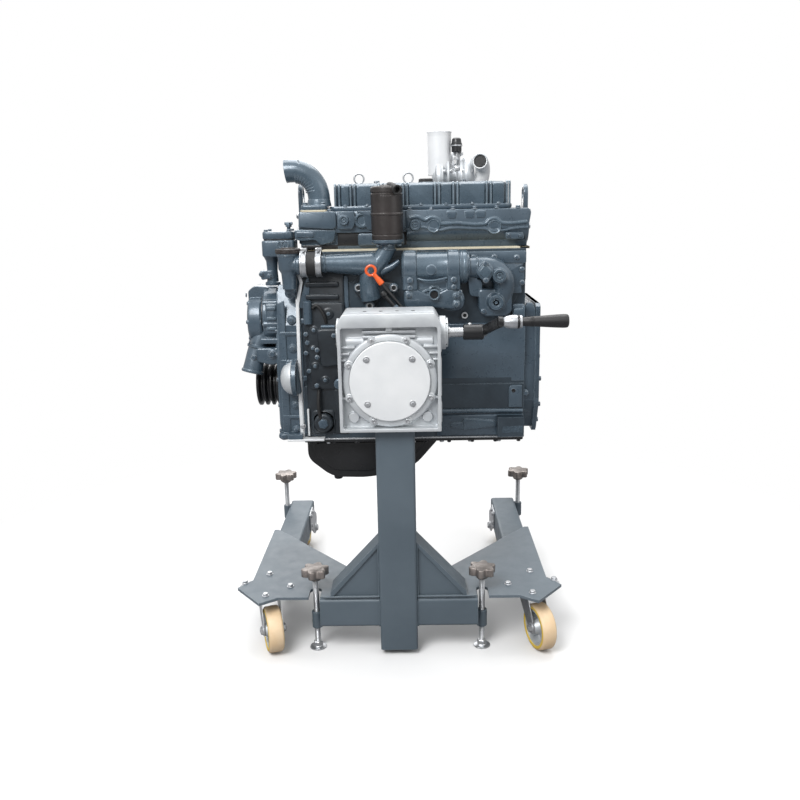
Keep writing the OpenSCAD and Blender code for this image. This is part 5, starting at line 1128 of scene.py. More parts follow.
def gear_case_detail():
    """The gear case: covers, bolts, lugs and the dome on its near side."""
    s = Shape(*CASTING, DISC_ALU, CAST_ALU)
    # bright joint plate seen edge on between the gear case and the block
    edge = [(178, 548), (512, 548), (512, 850), (464, 980), (230, 980), (182, 940), (178, 850)]
    s.cast(edge, 10, -269, -261, 1.2, 4, plane="yz")
    s.cast(
        [(-262, 1008), (-253, 1008), (-246, 986), (-259, 926), (-263, 640), (-263, 552), (-205, 552),
        (-205, 545), (-272, 545), (-273, 640), (-268, 926), (-255, 986)], 3, 176, 184, 1.6, 4)
    s.pad(-250, -245, 634, 556, 1.5, 173, 182, 1.2, 4)
    # cover on the front with its bolts
    front = -322
    outline = [(190, 552), (500, 552), (500, 772), (452, 968), (232, 968), (190, 772)]
    s.cast(outline, 18, front - 7, front + 2, 3, 0, 3, plane="yz")
    inner = [(206, 568), (484, 568), (484, 766), (440, 952), (244, 952), (206, 766)]
    s.cast(inner, 22, front - 12, front - 6, 3, 1, 3, plane="yz")
    for y, z in (
            (200, 566), (200, 640), (200, 714), (202, 786), (216, 850), (232, 914), (262, 958),
            (345, 958), (428, 958), (458, 914), (474, 850), (488, 786), (490, 714), (490, 640),
            (490, 566), (272, 562), (418, 562)):
        s.bolt((front - 6.5, y, z), "-x", 6, 2, 5)
    s.turn((front - 11, 290, 798), "-x", [(0, 62), (4, 61), (6, 58), (6, 40), (3, 38)], 0, 72)
    s.bolt_circle((front - 16.5, 290, 798), 50, 6, 0.3, "-x", 5, 2, 4)
    s.turn((front - 11, 418, 770), "-x", [(0, 44), (5, 42), (7, 39)], 0, 60)
    s.bolt_circle((front - 17.5, 418, 770), 33, 4, 0.8, "-x", 4.6, 2, 4)
    s.ring((front - 23.4, CRANK_Y, CRANK_Z), (front - 2, CRANK_Y, CRANK_Z), 54, 34, 1, 72, 3)
    s.lathe(
        (front + 2, CRANK_Y, CRANK_Z), "-x", [(0, 35), (0, 74), (10, 73), (16, 68), (21, 57), (21, 35)],
        1, 72, True)
    s.bolt_circle((front - 13, CRANK_Y, CRANK_Z), 64, 6, 0, "-x", 4.6, 2, 4)
    # near side of the case: flange, bolt lugs and ribs
    for z in (573, 646, 728, 806, 884):
        s.turn((-283, 186, z), "-y", [(0, 13), (5, 12), (6, 11)], 0, 28)
        s.bolt((-283, 180.5, z), "-y", 6.4, 2, 5)
    s.turn((-283, 190, 957), "-y", [(0, 15), (8, 14), (9, 12)], 0, 28)
    s.bolt((-283, 182, 957), "-y", 8, 2, 6)
    for z in (610, 688, 768, 846):
        s.pad(-318, -270, z + 5, z - 5, 3, 180.5, 187, 2)
    s.cast([(-321, 930), (-300, 938), (-300, 560), (-321, 552)], 5, 181, 187, 2.5)
    s.cast([(-332, 566), (-296, 562), (-296, 548), (-322, 544), (-334, 552)], 5, 172, 196, 4)
    s.bolt((-318, 173, 556), "-y", 6.4, 2, 5)
    s.pad(-306, -203, 552, 546.5, 2.6, 152, 188, 1.2, 4)
    s.cast([(-304, 770), (-270, 770), (-262, 680), (-304, 680)], 8, 158, 192, 4)
    s.lathe(
        (-282, 170, 725), "-x", [(-6, 0), (-6, 47), (4, 47), (9, 45), (18, 41), (27, 33), (33, 22),
        (36, 10), (36.5, 0)], 5, 72)
    s.turn((-280, 170, 725), "-x", [(-8, 50), (3, 50), (5, 48)], 0, 72)
    s.make("gear_case_detail", "engine", slot="engine_paint")


def side_parts():
    """Dark fittings in the recess between the gear case and the carrier plate."""
    s = Shape(DARK, PAINT, HEAD_BOLT, RUBBER, DISC_ALU)
    s.pad(-249, -136, 1012, 558, 5, 181.5, 191, 3)
    s.pad(-238, -136, 930, 690, 8, 174, 186, 4)
    s.cast([(-214, 862), (-150, 862), (-140, 760), (-206, 752)], 16, 160, 180, 7, 0, 4, steps=5)
    for x, z, r in ((-222, 856, 16), (-226, 806, 12), (-222, 756, 16), (-180, 900, 20), (-196, 716, 16)):
        s.turn((x, 184, z), "-y", [(0, r), (7, r - 1), (11, r - 5), (12, r - 8)], 0, 36)
        s.bolt((x, 172.5, z), "-y", 4.5, 2, 4)
    for z in (980, 946):
        s.pad(-240, -150, z + 6, z - 6, 4, 172, 184, 3)
    s.turn((-236, 172, 874), "z", [(0, 12), (60, 12), (64, 8)], 1, 32)
    s.tube(
        [(-222, 168, 916), (-212, 166, 924), (-200, 166, 914), (-190, 168, 892), (-187, 172, 876)], 4.2,
        3, 14)
    s.rod((-201, 168, 866), (-160, 168, 866), 5, 2, 20)
    s.tube([(-214, 170, 690), (-216, 164, 650), (-212, 166, 610), (-196, 170, 596)], 5, 3, 14)
    for x, z in (
            (-244, 845), (-241, 821), (-246, 792), (-240, 742), (-213, 803), (-214, 783), (-218, 704),
            (-166, 842)):
        s.bolt((x, 175.5 if x < -230 else 159.5, z), "-y", 5.6, 2, 5)
    s.turn((-205, 186, 594), "-y", [(0, 33), (6, 33), (8, 31), (8, 27), (20, 26), (23, 22)], 0, 48)
    s.turn((-205, 164, 594), "-y", [(0, 15), (7, 14), (8, 12)], 2, 6)
    s.pad(-236, -174, 628, 561, 9, 178, 188, 3)
    s.cast([(-172, 690), (-136, 690), (-136, 566), (-160, 566)], 6, 172, 190, 4)
    s.turn((-156, 172, 706), "-y", [(0, 16), (10, 15), (12, 12)], 2, 30)
    s.make("side_fittings", "engine", slot="black_metal")


def pump():
    """The coolant pump with its arm and inlet pipe."""
    s = Shape(*CASTING)
    y, z = 300, 883
    s.turn(
        (-418, y, z - 10), "x", [(0, 52), (3, 66), (8, 72), (12, 73), (38, 74), (43, 71), (45, 66)], 0,
        72)
    s.turn((-374, y, z), "x", [(0, 70), (4, 70)], 3, 60)
    s.turn((-370, y, z), "x", [(0, 79), (4, 83), (42, 83), (48, 78)], 0, 72)
    s.cast(
        [(-414, 957), (-396, 971), (-357, 967), (-352, 940), (-352, 880), (-414, 880)],
        [6, 8, 8, 6, 2, 2], y - 34, y + 34, 8, 0, 4)
    s.turn((-418, y, z - 10), "-x", [(-1, 40), (2, 38), (2, 26), (0, 24)], 1, 48)
    s.rod((-420, y, z - 10), (-412, y, z - 10), 12, 2, 30)
    for k in range(7):
        a = tau * k / 7 + 0.45
        cy, cz = y + 63 * cos(a), z - 10 + 63 * sin(a)
        s.turn((-410, cy, cz), "x", [(-4, 9), (34, 10)], 0, 24)
        s.bolt((-413.5, cy, cz), "-x", 5.6, 2, 4)
    for k in range(8):
        a = tau * k / 8 + 0.2
        cy, cz = y + 78 * cos(a), z + 78 * sin(a)
        s.turn((-366, cy, cz), "x", [(0, 9), (40, 9)], 0, 20)
        s.bolt((-365.5, cy, cz), "-x", 5, 2, 4)
    # flange, arm and inlet on the near side
    s.pad(-378, -316, 829, 813, 5, 214, 262, 4)
    s.cast([(-392, 802), (-319, 802), (-319, 760), (-350, 752), (-392, 762)], 9, 216, 300, 5, 0, 3)
    s.turn((-345, 217, 785), "-y", [(0, 15), (5, 14), (6, 12)], 0, 32)
    s.bolt((-345, 212, 785), "-y", 9, 2, 6)
    path = [(-376, 264, 846), (-384, 258, 820), (-396, 252, 788), (-405, 243, 752), (-411, 239, 728)]
    s.tube(path, [25, 26, 27, 29], 0, 40, 8, 4)
    axis = (Vector(path[-1]) - Vector(path[-2])).normalized()
    s.ring(Vector(path[-1]) - 8 * axis, Vector(path[-1]), 31, 27, 0, 48, 1.6)
    s.ring(Vector((-391, 254, 800)) - 5 * axis, Vector((-391, 254, 800)) + 5 * axis, 32, 26, 0, 48, 2)
    s.bolt((-399, 221, 775), "-y", 7, 2, 6)
    s.screw((-418, 262, 946), "-x", 6, 2, 2)
    s.screw((-409, 224, 818), "-x", 6, 2, 2)
    s.pad(-360, -326, 925, 842, 6, 216, 236, 5)
    for z in (856, 884, 912):
        s.pad(-356, -330, z + 4, z - 4, 2, 212, 218, 2, 1)
    s.make("coolant_pump_casting", "engine", "coolant_pump", slot="engine_paint")


def pulley():
    """The crankshaft's belt pulley with three grooves."""
    s = Shape(BLACK, ZINC, PAINT_SMOOTH)
    start = -413
    profile = [(0, 0), (0, 30), (10, 33), (10, 46), (4, 54), (2, 64), (3, 66), (8, 66)]
    for k in range(3):
        a = 9 + 18.5 * k
        profile += [(a, 66), (a + 5.5, 54), (a + 9, 54), (a + 14.5, 66), (a + 18, 66)]
    profile += [(66, 66), (67.5, 64), (67.5, 44), (60, 38), (60, 0)]
    s.lathe((start, CRANK_Y, CRANK_Z), "x", profile, 0, 96)
    s.turn((start + 10, CRANK_Y, CRANK_Z), "-x", [(-2, 27), (3, 26)], 1, 48)
    s.bolt((start + 8, CRANK_Y, CRANK_Z), "-x", 17, 1, 9)
    s.bolt_circle((start + 9.6, CRANK_Y, CRANK_Z), 40, 6, 0, "-x", 5.4, 1, 4)
    s.make("belt_pulley", "crankshaft", "crank_pulley", slot="black_metal")


CUP_X, HOSE_Y, HOSE_Z = -278, 151, 1037


def thermostat():
    """The thermostat housing, and the cup below it that takes the hose."""
    s = Shape(*CASTING, BROWN)
    s.pad(-357, -268, 196, 284, 16, 1054, 1098, 5, 0, 3, plane="xy", steps=5)
    s.pad(-354, -271, 199, 281, 14, 1101, 1121, 4, 0, 3, plane="xy", steps=5)
    s.pad(-352, -273, 201, 279, 14, 1096, 1103, 0.6, 3, plane="xy", steps=5)
    for x, y in ((-344, 208), (-282, 208), (-344, 272), (-282, 272)):
        s.bolt((x, y, 1120.5), "z", 6, 2, 5)
    s.rod((-286, 240, 1119), (-286, 240, 1134), 5, 2, 24)
    s.turn((-286, 240, 1132), "z", [(0, 9), (9, 9), (12, 7)], 2, 6)
    s.rod((-297, 240, 1141), (-275, 240, 1141), 4, 2, 18)
    s.torus((-303, 196, 1086), "y", 8.5, 2.4, 1, 36, 10)
    s.turn((-303, 197, 1086), "-y", [(-2, 6), (1.5, 5.4)], 2, 24)
    s.turn((-337, 240, 975), "z", [(0, 21), (8, 21), (11, 16), (40, 14.5), (66, 16), (82, 24)], 0, 48)
    s.cast([(-370, 1016), (-334, 1016), (-330, 996), (-366, 990)], 6, 222, 262, 4)
    s.bolt((-365, 222.5, 1006), "-y", 6, 2, 5)
    s.bolt((-344, 222.5, 1000), "-y", 6, 2, 5)
    s.block((-294, 226, 976), (-262, 254, 1066), 5)
    # cup and elbow for the hose
    cup = (CUP_X, HOSE_Y, 969)
    s.turn(
        cup, "z", [(0, 13), (3, 18), (30, 19.5), (44, 20.5), (52, 25), (56, 27.5), (86, 28), (91, 29),
        (94, 31.5), (104, 32), (106, 30), (106, 23), (96, 20)], 0, 56)
    s.torus((CUP_X, HOSE_Y, 1060), "z", 28.4, 2.0, 1, 56, 10)
    s.turn(
        (CUP_X, HOSE_Y, 1073), "z", [(-8, 31), (-7, 33.5), (-2, 34), (-1, 32.8), (0, 34), (3, 34),
        (5, 31), (5, 20), (8, 18)], 4, 64)
    s.torus((-284, 146, 1088), "y", 9, 2.2, 2, 40, 10)
    s.turn(
        (CUP_X, HOSE_Y, 1036), "x", [(0, 24), (20, 24), (24, 27), (30, 27), (33, 24.5), (46, 24.5)], 0,
        48)
    s.pad(-300, -254, 1062, 1034, 8, 172, 214, 6, 0, 3)
    s.cast([(-296, 1000), (-262, 1004), (-262, 960), (-292, 956)], 8, 152, 188, 5, 0, 3)
    s.bolt((-270, 151.5, 980), "-y", 6, 2, 5)
    s.make("thermostat_casting", "engine", "thermostat_housing", slot="engine_paint")


def hose():
    """The short hose, its clamps and the tapered pipe behind it."""
    s = Shape(RUBBER)
    profile = [
        (0, 24), (0, 31.5), (1.5, 33), (16, 33), (20, 32), (28, 31.6), (38, 32), (41, 33), (54.5, 33),
        (56, 31.5), (56, 24)]
    s.lathe((-245, HOSE_Y, HOSE_Z), "x", profile, 0, 56, True)
    s.make("hose", "engine", "coolant_hose", slot="hose_rubber")
    c = Shape(ZINC, BLACK)
    for x in (-243, -204):
        c.ring((x, HOSE_Y, HOSE_Z), (x + 15, HOSE_Y, HOSE_Z), 35, 32.6, 0, 64, 0.6)
        c.torus((x + 1.3, HOSE_Y, HOSE_Z), "x", 34.9, 1.1, 0, 56, 8)
        c.torus((x + 13.7, HOSE_Y, HOSE_Z), "x", 34.9, 1.1, 0, 56, 8)
        c.block((x - 1, 140, 1069), (x + 16, 160, 1079), 2, 0)
        c.rod((x + 7.5, 134, 1075), (x + 7.5, 164, 1075), 4.2, 0, 24)
        c.bolt((x + 7.5, 134.5, 1075), "-y", 5.6, 0, 5, False)
    c.make("hose_clamps", "engine", slot="zinc")
    p = Shape(PAINT, PAINT_SMOOTH, HEAD_BOLT)
    p.turn(
        (-203, HOSE_Y, HOSE_Z), Vector((160, 20, -7)), [(0, 24), (20, 24), (22, 21.6), (60, 24.4),
        (100, 28.4), (158, 34), (160, 31.5)], 1, 64)
    p.cast([(-118, 1050), (-84, 1052), (-84, 1022), (-112, 1020)], 8, 152, 189, 5, 0, 3)
    p.torus((-181, HOSE_Y, HOSE_Z), "x", 22.6, 2.4, 1, 48, 10)
    p.make("tapered_pipe", "engine", "coolant_pipe", slot="engine_paint")


def outlet():
    """The outlet elbow on the head, turned towards the gear case."""
    s = Shape(PAINT_SMOOTH, PAINT, HEAD_BOLT, GASKET)
    s.pad(-247, -177, 206, 298, 12, HEAD_TOP + 4, HEAD_TOP + 18, 4, 1, 3, plane="xy")
    s.pad(-249, -176, 204, 300, 12, HEAD_TOP - 0.5, HEAD_TOP + 4.5, 0.8, 3, plane="xy")
    for x, y in ((-236, 217), (-236, 287), (-188, 217), (-188, 287)):
        s.bolt((x, y, HEAD_TOP + 17.5), "z", 6.5, 2, 6)
    s.turn((-201, 252, HEAD_TOP + 14), "z", [(0, 33), (4, 33), (18, 30)], 0, 56)
    path = [
        (-201, 252, 1186), (-201, 252, 1212), (-208, 252, 1240), (-228, 252, 1266), (-254, 252, 1278),
        (-276, 252, 1280), (-289, 252, 1279)]
    s.tube(path, [29.8, 29.6, 30.2, 30.8], 0, 56, 8, 4.5)
    for k in range(9):
        a = radians(8 + 9.5 * k)
        centre = Vector((-264, 252, 1218))
        out = Vector((cos(a), 0, sin(a)))
        s.torus(centre + 56.6 * out, (-sin(a), 0, cos(a)), 27.4, 1.6, 0, 48, 8)
    s.make("outlet_elbow_casting", "engine", "outlet_elbow", slot="engine_paint")


def eyes():
    """The two lifting eyes."""
    s = Shape(PAINT, ZINC)
    for x, top in ((-267, 1247), (365, 1235)):
        outline = [(318, 1085), (372, 1085), (372, top - 27)]
        outline += [
            (345 + 27 * cos(a), top - 27 + 27 * sin(a)) for a in (pi * k / 20 for k in range(1,
            20))] + [(318, top - 27)]
        hole = [(CRANK_Y + px, top - 27 + pz) for px, pz in circle(14, 36)]
        s.prism(outline, "yz", x, x + 12, 2.2, hole=hole)
        face, away = (x, "-x") if x < 0 else (x + 12, "x")
        for y in (330, 360):
            s.bolt((face, y, 1120), away, 8.5, 1, 7)
            s.bolt((face, y, 1160), away, 8.5, 1, 7)
    s.make("lifting_eye_plates", "engine", "lifting_eyes", slot="engine_paint")


oil_pan()
gear_case_detail()
side_parts()
pump()
pulley()
thermostat()
hose()
outlet()
eyes()

# Engine: parts on the near side


STICK_LEAN = radians(39)
STICK = Vector((-sin(STICK_LEAN), 0, cos(STICK_LEAN)))


def oil_cooler():
    """The oil cooler's barrel, and the filter head below it."""
    s = Shape(*CASTING, DISC_ALU)
    y, z = 165, 1021
    s.turn(
        (22, y, z), "x", [(0, 36), (3, 41), (8, 43), (20, 43), (24, 41), (150, 41), (154, 43), (170, 44),
        (174, 42)], 1, 72)
    for a, b in ((26, 62), (143, 175)):
        s.ring((a, y, z), (b, y, z), 46, 38, 0, 72, 4)
        s.cast([(a, z - 8), (b, z - 8), (b + 2, z - 58), (a - 2, z - 58)], 6, 124, 187, 5, 0, 3)
        s.pad(a + 4, b - 4, z + 36, z + 46, 4, 150, 180, 3)
    s.cast([(62, z - 30), (143, z - 30), (150, z - 62), (56, z - 62)], 8, 138, 188, 5, 0, 3)
    s.tube([(64, 128, z - 26), (84, 124, z - 31), (112, 124, z - 31), (142, 127, z - 25)], 3.2, 1, 12)
    s.ring((176, y, z), (184, y, z), 45, 20, 0, 72, 2)
    s.ring((186, y, z), (193, y, z), 44, 20, 1, 72, 2)
    for k in range(6):
        a = tau * k / 6 + 0.5
        s.bolt((176.6, y + 38 * cos(a), z + 38 * sin(a)), "-x", 4.6, 2, 4)
        s.bolt((192.6, y + 38 * cos(a), z + 38 * sin(a)), "x", 4.6, 2, 4)
    for x in (44, 159):
        s.bolt((x, 120.5, z - 30), "-y", 7, 2, 6)
        s.bolt((x, 123.5, z - 50), "-y", 6, 2, 5)
    s.turn((100, 124, z - 4), "-y", [(-4, 14), (2, 13), (3, 10)], 0, 32)
    # filter head below the barrel
    s.cast(
        [(32, 968), (50, 944), (66, 958), (100, 968), (104, 944), (92, 920), (64, 908), (38, 918),
        (28, 940)], 9, 134, 188, 5, 0, 3)
    s.tube(
        [(36, 133, 962), (47, 132, 941), (56, 132, 948), (66, 132, 956), (84, 132, 961), (101, 133, 964)],
        2.6, 1, 12)
    s.turn((62, 134, 936), "-y", [(-3, 23), (2, 22), (3, 20)], 1, 48)
    s.bolt((62, 131, 936), "-y", 6, 2, 4)
    s.turn((107, 138, 957), "-y", [(-14, 19), (0, 18), (3, 17), (4, 15), (4, 12), (-1, 10.5)], 0, 48)
    s.torus((107, 134.4, 957), "y", 15.5, 1.8, 1, 44, 8)
    s.cast(
        [(122, 968), (180, 964), (190, 940), (184, 914), (160, 906), (132, 912), (122, 938)], 10, 134,
        188, 5, 0, 3)
    s.turn((160, 134, 936), "-y", [(-3, 22), (2, 21), (3, 18), (3, 8), (0, 6)], 1, 48)
    s.bolt((130, 133.5, 920), "-y", 6, 2, 5)
    s.bolt((176, 133.5, 958), "-y", 5, 2, 5)
    s.cast([(6, 914), (44, 914), (40, 896), (10, 896)], 5, 114, 168, 4)
    s.cast(
        [(28, 966), (61, 968), (86, 956), (106, 952), (124, 960), (146, 970), (176, 960), (178, 927),
        (158, 911), (120, 916), (78, 918), (34, 914), (26, 935)], 8, 126, 150, 6, 0, 3)
    for bx, bz in ((40, 952), (166, 948), (166, 926)):
        s.turn((bx, 127, bz), "-y", [(0, 10), (3, 9)], 1, 28)
        s.bolt((bx, 124, bz), "-y", 6, 2, 5)
    s.ring((107, 112, 953), (107, 130, 953), 15, 10.5, 1, 44, 2)
    s.rod((107, 120, 953), (107, 130, 953), 10.6, 3, 32)
    stick = STICK
    foot = Vector((16, 119, 905))
    s.rod(foot - 6 * stick, foot + 60 * stick, 6, 3, 24)
    s.turn(foot + 14 * stick, stick, [(0, 10), (9, 10), (11, 8)], 2, 6)
    s.lathe(
        foot + 60 * stick, stick, [(0, 3.4), (0, 8), (3, 9), (10, 8.6), (14, 7), (14, 3.4)], 3, 28, True)
    for x, y0, z0, r in ((243, 189, 960, 9), (191, 189, 888, 9), (-1, 189, 966, 9)):
        s.ring((x, y0, z0), (x, y0 - 6, z0), r, r - 4, 4, 36, 1)
        s.rod((x, y0, z0), (x, y0 - 3, z0), r - 4, 3, 20)
    s.make("oil_cooler_casting", "engine", "oil_cooler", slot="engine_paint")


def cooler_elbow():
    """The elbow from the cooler to the block, with its flange."""
    s = Shape(*CASTING)
    y = 163
    path = [
        (192, y, 1018), (214, y, 1019), (244, y, 1019), (268, y, 1012), (288, y, 994), (294, y + 2, 966),
        (288, y + 5, 938), (282, y + 8, 914)]
    s.tube(path, [28, 29, 30, 30, 28, 24], 0, 48, 8)
    s.ring((194, y, 1021), (202, y, 1021), 37, 26, 0, 56, 2)
    diamond = rounded([(240, 1043), (268, 1012), (245, 976), (214, 1008)], [9, 14, 9, 14], 5)
    s.prism(diamond, "xz", 118, 146, 4, 0, 3)
    s.prism(
        [(241 + 0.72 * (u - 241), 1010 + 0.66 * (v - 1010)) for u, v in diamond], "xz", 114.5, 122, 3, 1,
        3)
    for x, z in ((241, 1031), (243, 988)):
        s.bolt((x, 118.5, z), "-y", 6.5, 2, 5)
    s.turn((279, 146, 998), "-y", [(0, 21), (18, 19), (24, 18.5), (26, 17), (26, 11), (22, 10)], 0, 48)
    s.turn((279, 124.5, 998), "-y", [(0, 9.4), (2.4, 8.8), (2.4, 4.6), (-1, 4.4)], 1, 6)
    s.turn(
        (271, 186, 928), "-y", [(0, 30), (22, 27), (46, 23), (56, 21.5), (60, 19), (60, 12), (57, 11)], 0,
        52)
    s.turn((271, 131, 928), "-y", [(0, 9), (2, 8.6), (2, 4.4), (-1, 4.2)], 2, 6)
    s.cast(
        [(226, 962), (316, 962), (316, 900), (300, 888), (240, 888), (226, 908)], 12, 150, 190, 6, 0, 3)
    s.cast([(196, 1000), (236, 986), (236, 940), (204, 944)], 8, 152, 190, 5, 0, 3)
    s.torus((222, y, 1019), "x", 30.5, 2.6, 0, 52, 10)
    s.bolt((300, 150.5, 950), "-y", 6, 2, 5)
    s.bolt((240, 150.5, 902), "-y", 6, 2, 5)
    s.make("cooler_elbow_casting", "engine", "cooler_elbow", slot="engine_paint")


def canister():
    """The breather canister and its short outlet."""
    s = Shape(BROWN, BLACK, ZINC, RUBBER)
    x, y, z = -14, 162, 1095
    profile = [
        (0, 0), (0, 39), (2, 41), (12, 41.4), (13.5, 40), (15, 40), (16.5, 41.4), (63, 42), (64.5, 43.6),
        (68.5, 43.6), (70, 42), (118, 42), (119.5, 40.4), (121.5, 40.4), (123, 42.4), (133, 42),
        (137, 39), (138, 34), (138, 0)]
    s.lathe((x, y, z), "z", profile, 0, 96)
    for k in range(5):
        a = radians(-112 + 9 * k)
        s.rod(
            (x + 41.6 * cos(a), y + 41.6 * sin(a), z + 112), (x + 41.6 * cos(a + 0.1),
            y + 41.6 * sin(a + 0.1), z + 112), 1.1, 0, 10, 0.4)
    s.turn((x, y, z + 136), "z", [(0, 17), (4, 16), (6, 13)], 0, 48)
    for k in range(4):
        a = tau * k / 4 + 0.7
        s.bolt((x + 33 * cos(a), y + 33 * sin(a), z + 129), "z", 4.6, 2, 4)
    s.tube(
        [(x + 8, y, z + 138), (x + 12, y - 12, z + 137), (x + 20, y - 28, z + 133),
        (x + 29, y - 46, z + 127)], [10, 11], 3, 32, 5, 3)
    s.torus((x + 28.6, y - 45, z + 127.3), (0.42, -0.88, -0.28), 11, 2.2, 3, 40, 10)
    s.make("breather_canister_body", "engine", "breather_canister", slot="canister_brown")


def breather_pipe():
    """The pipe from the canister down to its foot on the block."""
    s = Shape(PAINT, PAINT_SMOOTH, HEAD_BOLT, ORANGE, BLACK, DARK, ZINC)
    x, y = -14, 162
    s.turn((x, y, 1083), "z", [(0, 30), (3, 40), (6, 42.5), (12, 42.5), (13, 41)], 0, 64)
    s.cast([(x - 26, y), (x + 26, y), (x + 22, 232), (x - 22, 232)], 8, 1084, 1094, 3, plane="xy")
    for k in range(3):
        a = -0.5 - 0.9 * k
        s.bolt((x + 36 * cos(a), y + 36 * sin(a), 1084), "-z", 5.5, 2, 4)
    path = [
        (x, y, 1088), (x - 3, y, 1070), (x - 16, y, 1048), (x - 36, y, 1024), (x - 50, y, 998),
        (x - 52, y + 2, 968), (x - 48, y + 6, 940)]
    s.tube(path, [21.5, 23, 25.5, 27], 1, 48, 8)
    s.torus((x - 1, y, 1072), (0.12, 0, 1), 22.3, 2.2, 0, 44, 10)
    s.tube([(x + 30, y - 4, 1040), (x + 8, y - 2, 1024), (x - 20, y, 1012)], [5, 9, 13], 0, 24, 5)
    s.cast(
        [(-108, 976), (-92, 984), (-60, 990), (0, 982), (12, 970), (4, 956), (-36, 940), (-52, 912),
        (-74, 908), (-86, 934), (-106, 956)], 9, 168, 189, 4.5, 5, 3)
    for bx, bz in ((-95, 970), (0, 968), (-66, 921)):
        s.turn((bx, 168, bz), "-y", [(0, 13), (4, 12)], 0, 28)
        s.ring((bx, 159, bz), (bx, 164, bz), 9.5, 5.6, 6, 32, 1)
        s.rod((bx, 161.5, bz), (bx, 166, bz), 6, 4, 24)
    s.make("breather_pipe_casting", "engine", "breather_pipe", slot="engine_paint")


def dipstick():
    """The dipstick with its orange handle."""
    s = Shape(ORANGE, ZINC, BLACK)
    along = STICK
    base = Vector((16, 119, 927))
    s.rod(base - 40 * along, base + 92 * along, 2.4, 1, 16)
    s.rod(base - 30 * along, base + 74 * along, 4.4, 2, 24)
    s.lathe(
        base + 72 * along, along, [(0, 0), (0, 7.2), (2, 8.4), (16, 7.6), (26, 6), (34, 6.8), (36, 0)], 0,
        32)
    s.torus(base + 118 * along, "y", 12.5, 3.6, 0, 56, 16)
    s.make("dipstick_handle", "dipstick", "dipstick", slot="handle")


def exhaust():
    """The exhaust manifold on the far side."""
    s = Shape(MANIFOLD, RED_BROWN, ZINC)
    y, z = 539, 1115
    s.turn(
        (-140, y, z), "x", [(0, 22), (4, 27), (10, 29), (120, 29), (124, 32), (134, 32), (138, 29),
        (270, 29), (274, 32), (284, 32), (288, 29), (418, 29), (426, 26), (430, 20)], 0, 64)
    for k in range(4):
        x = BORE_X + BORE_STEP * k
        s.pad(x - 40, x + 40, z + 35, z - 35, 16, 484, 496, 2.5, steps=5)
        s.tube(
            [(x, 490, z), (x + 3, 506, z + 1), (x + 10, 524, z + 2), (x + 26, 539, z + 2)], [22, 23, 26],
            0, 36)
        for dx, dz in ((-29, 22), (29, 22), (-29, -22), (29, -22)):
            s.bolt((x + dx, 495.5, z + dz), "y", 8, 2, 8)
        s.pad(x - 14, x + 14, z + 40, z + 28, 4, 486, 508, 2)
    s.tube([(218, y, z + 16), (218, y, z + 50), (218, y, z + 92)], [28, 25, 26], 0, 44)
    s.pad(184, 252, y - 36, y + 36, 12, z + 78, z + 91, 2.5, plane="xy")
    for dx in (-26, 26):
        for dy in (-27, 27):
            s.bolt((218 + dx, y + dy, z + 78.5), "-z", 7, 2, 7)
    s.make("exhaust_manifold_casting", "engine", "exhaust_manifold", slot="manifold_iron")


def volute(s, x, y, z, r0, r1, tube0, tube1, mat, sign=1):
    """A snail-shaped scroll about an axis along X."""
    points, radii = [], []
    count = 26
    for k in range(count + 1):
        t = k / count
        a = sign * tau * t * 0.95 + pi / 2
        r = r0 + (r1 - r0) * t
        points.append((x, y + r * cos(a), z + r * sin(a)))
        radii.append(tube0 + (tube1 - tube0) * t)
    s.tube(points, radii, mat, 28, 2)


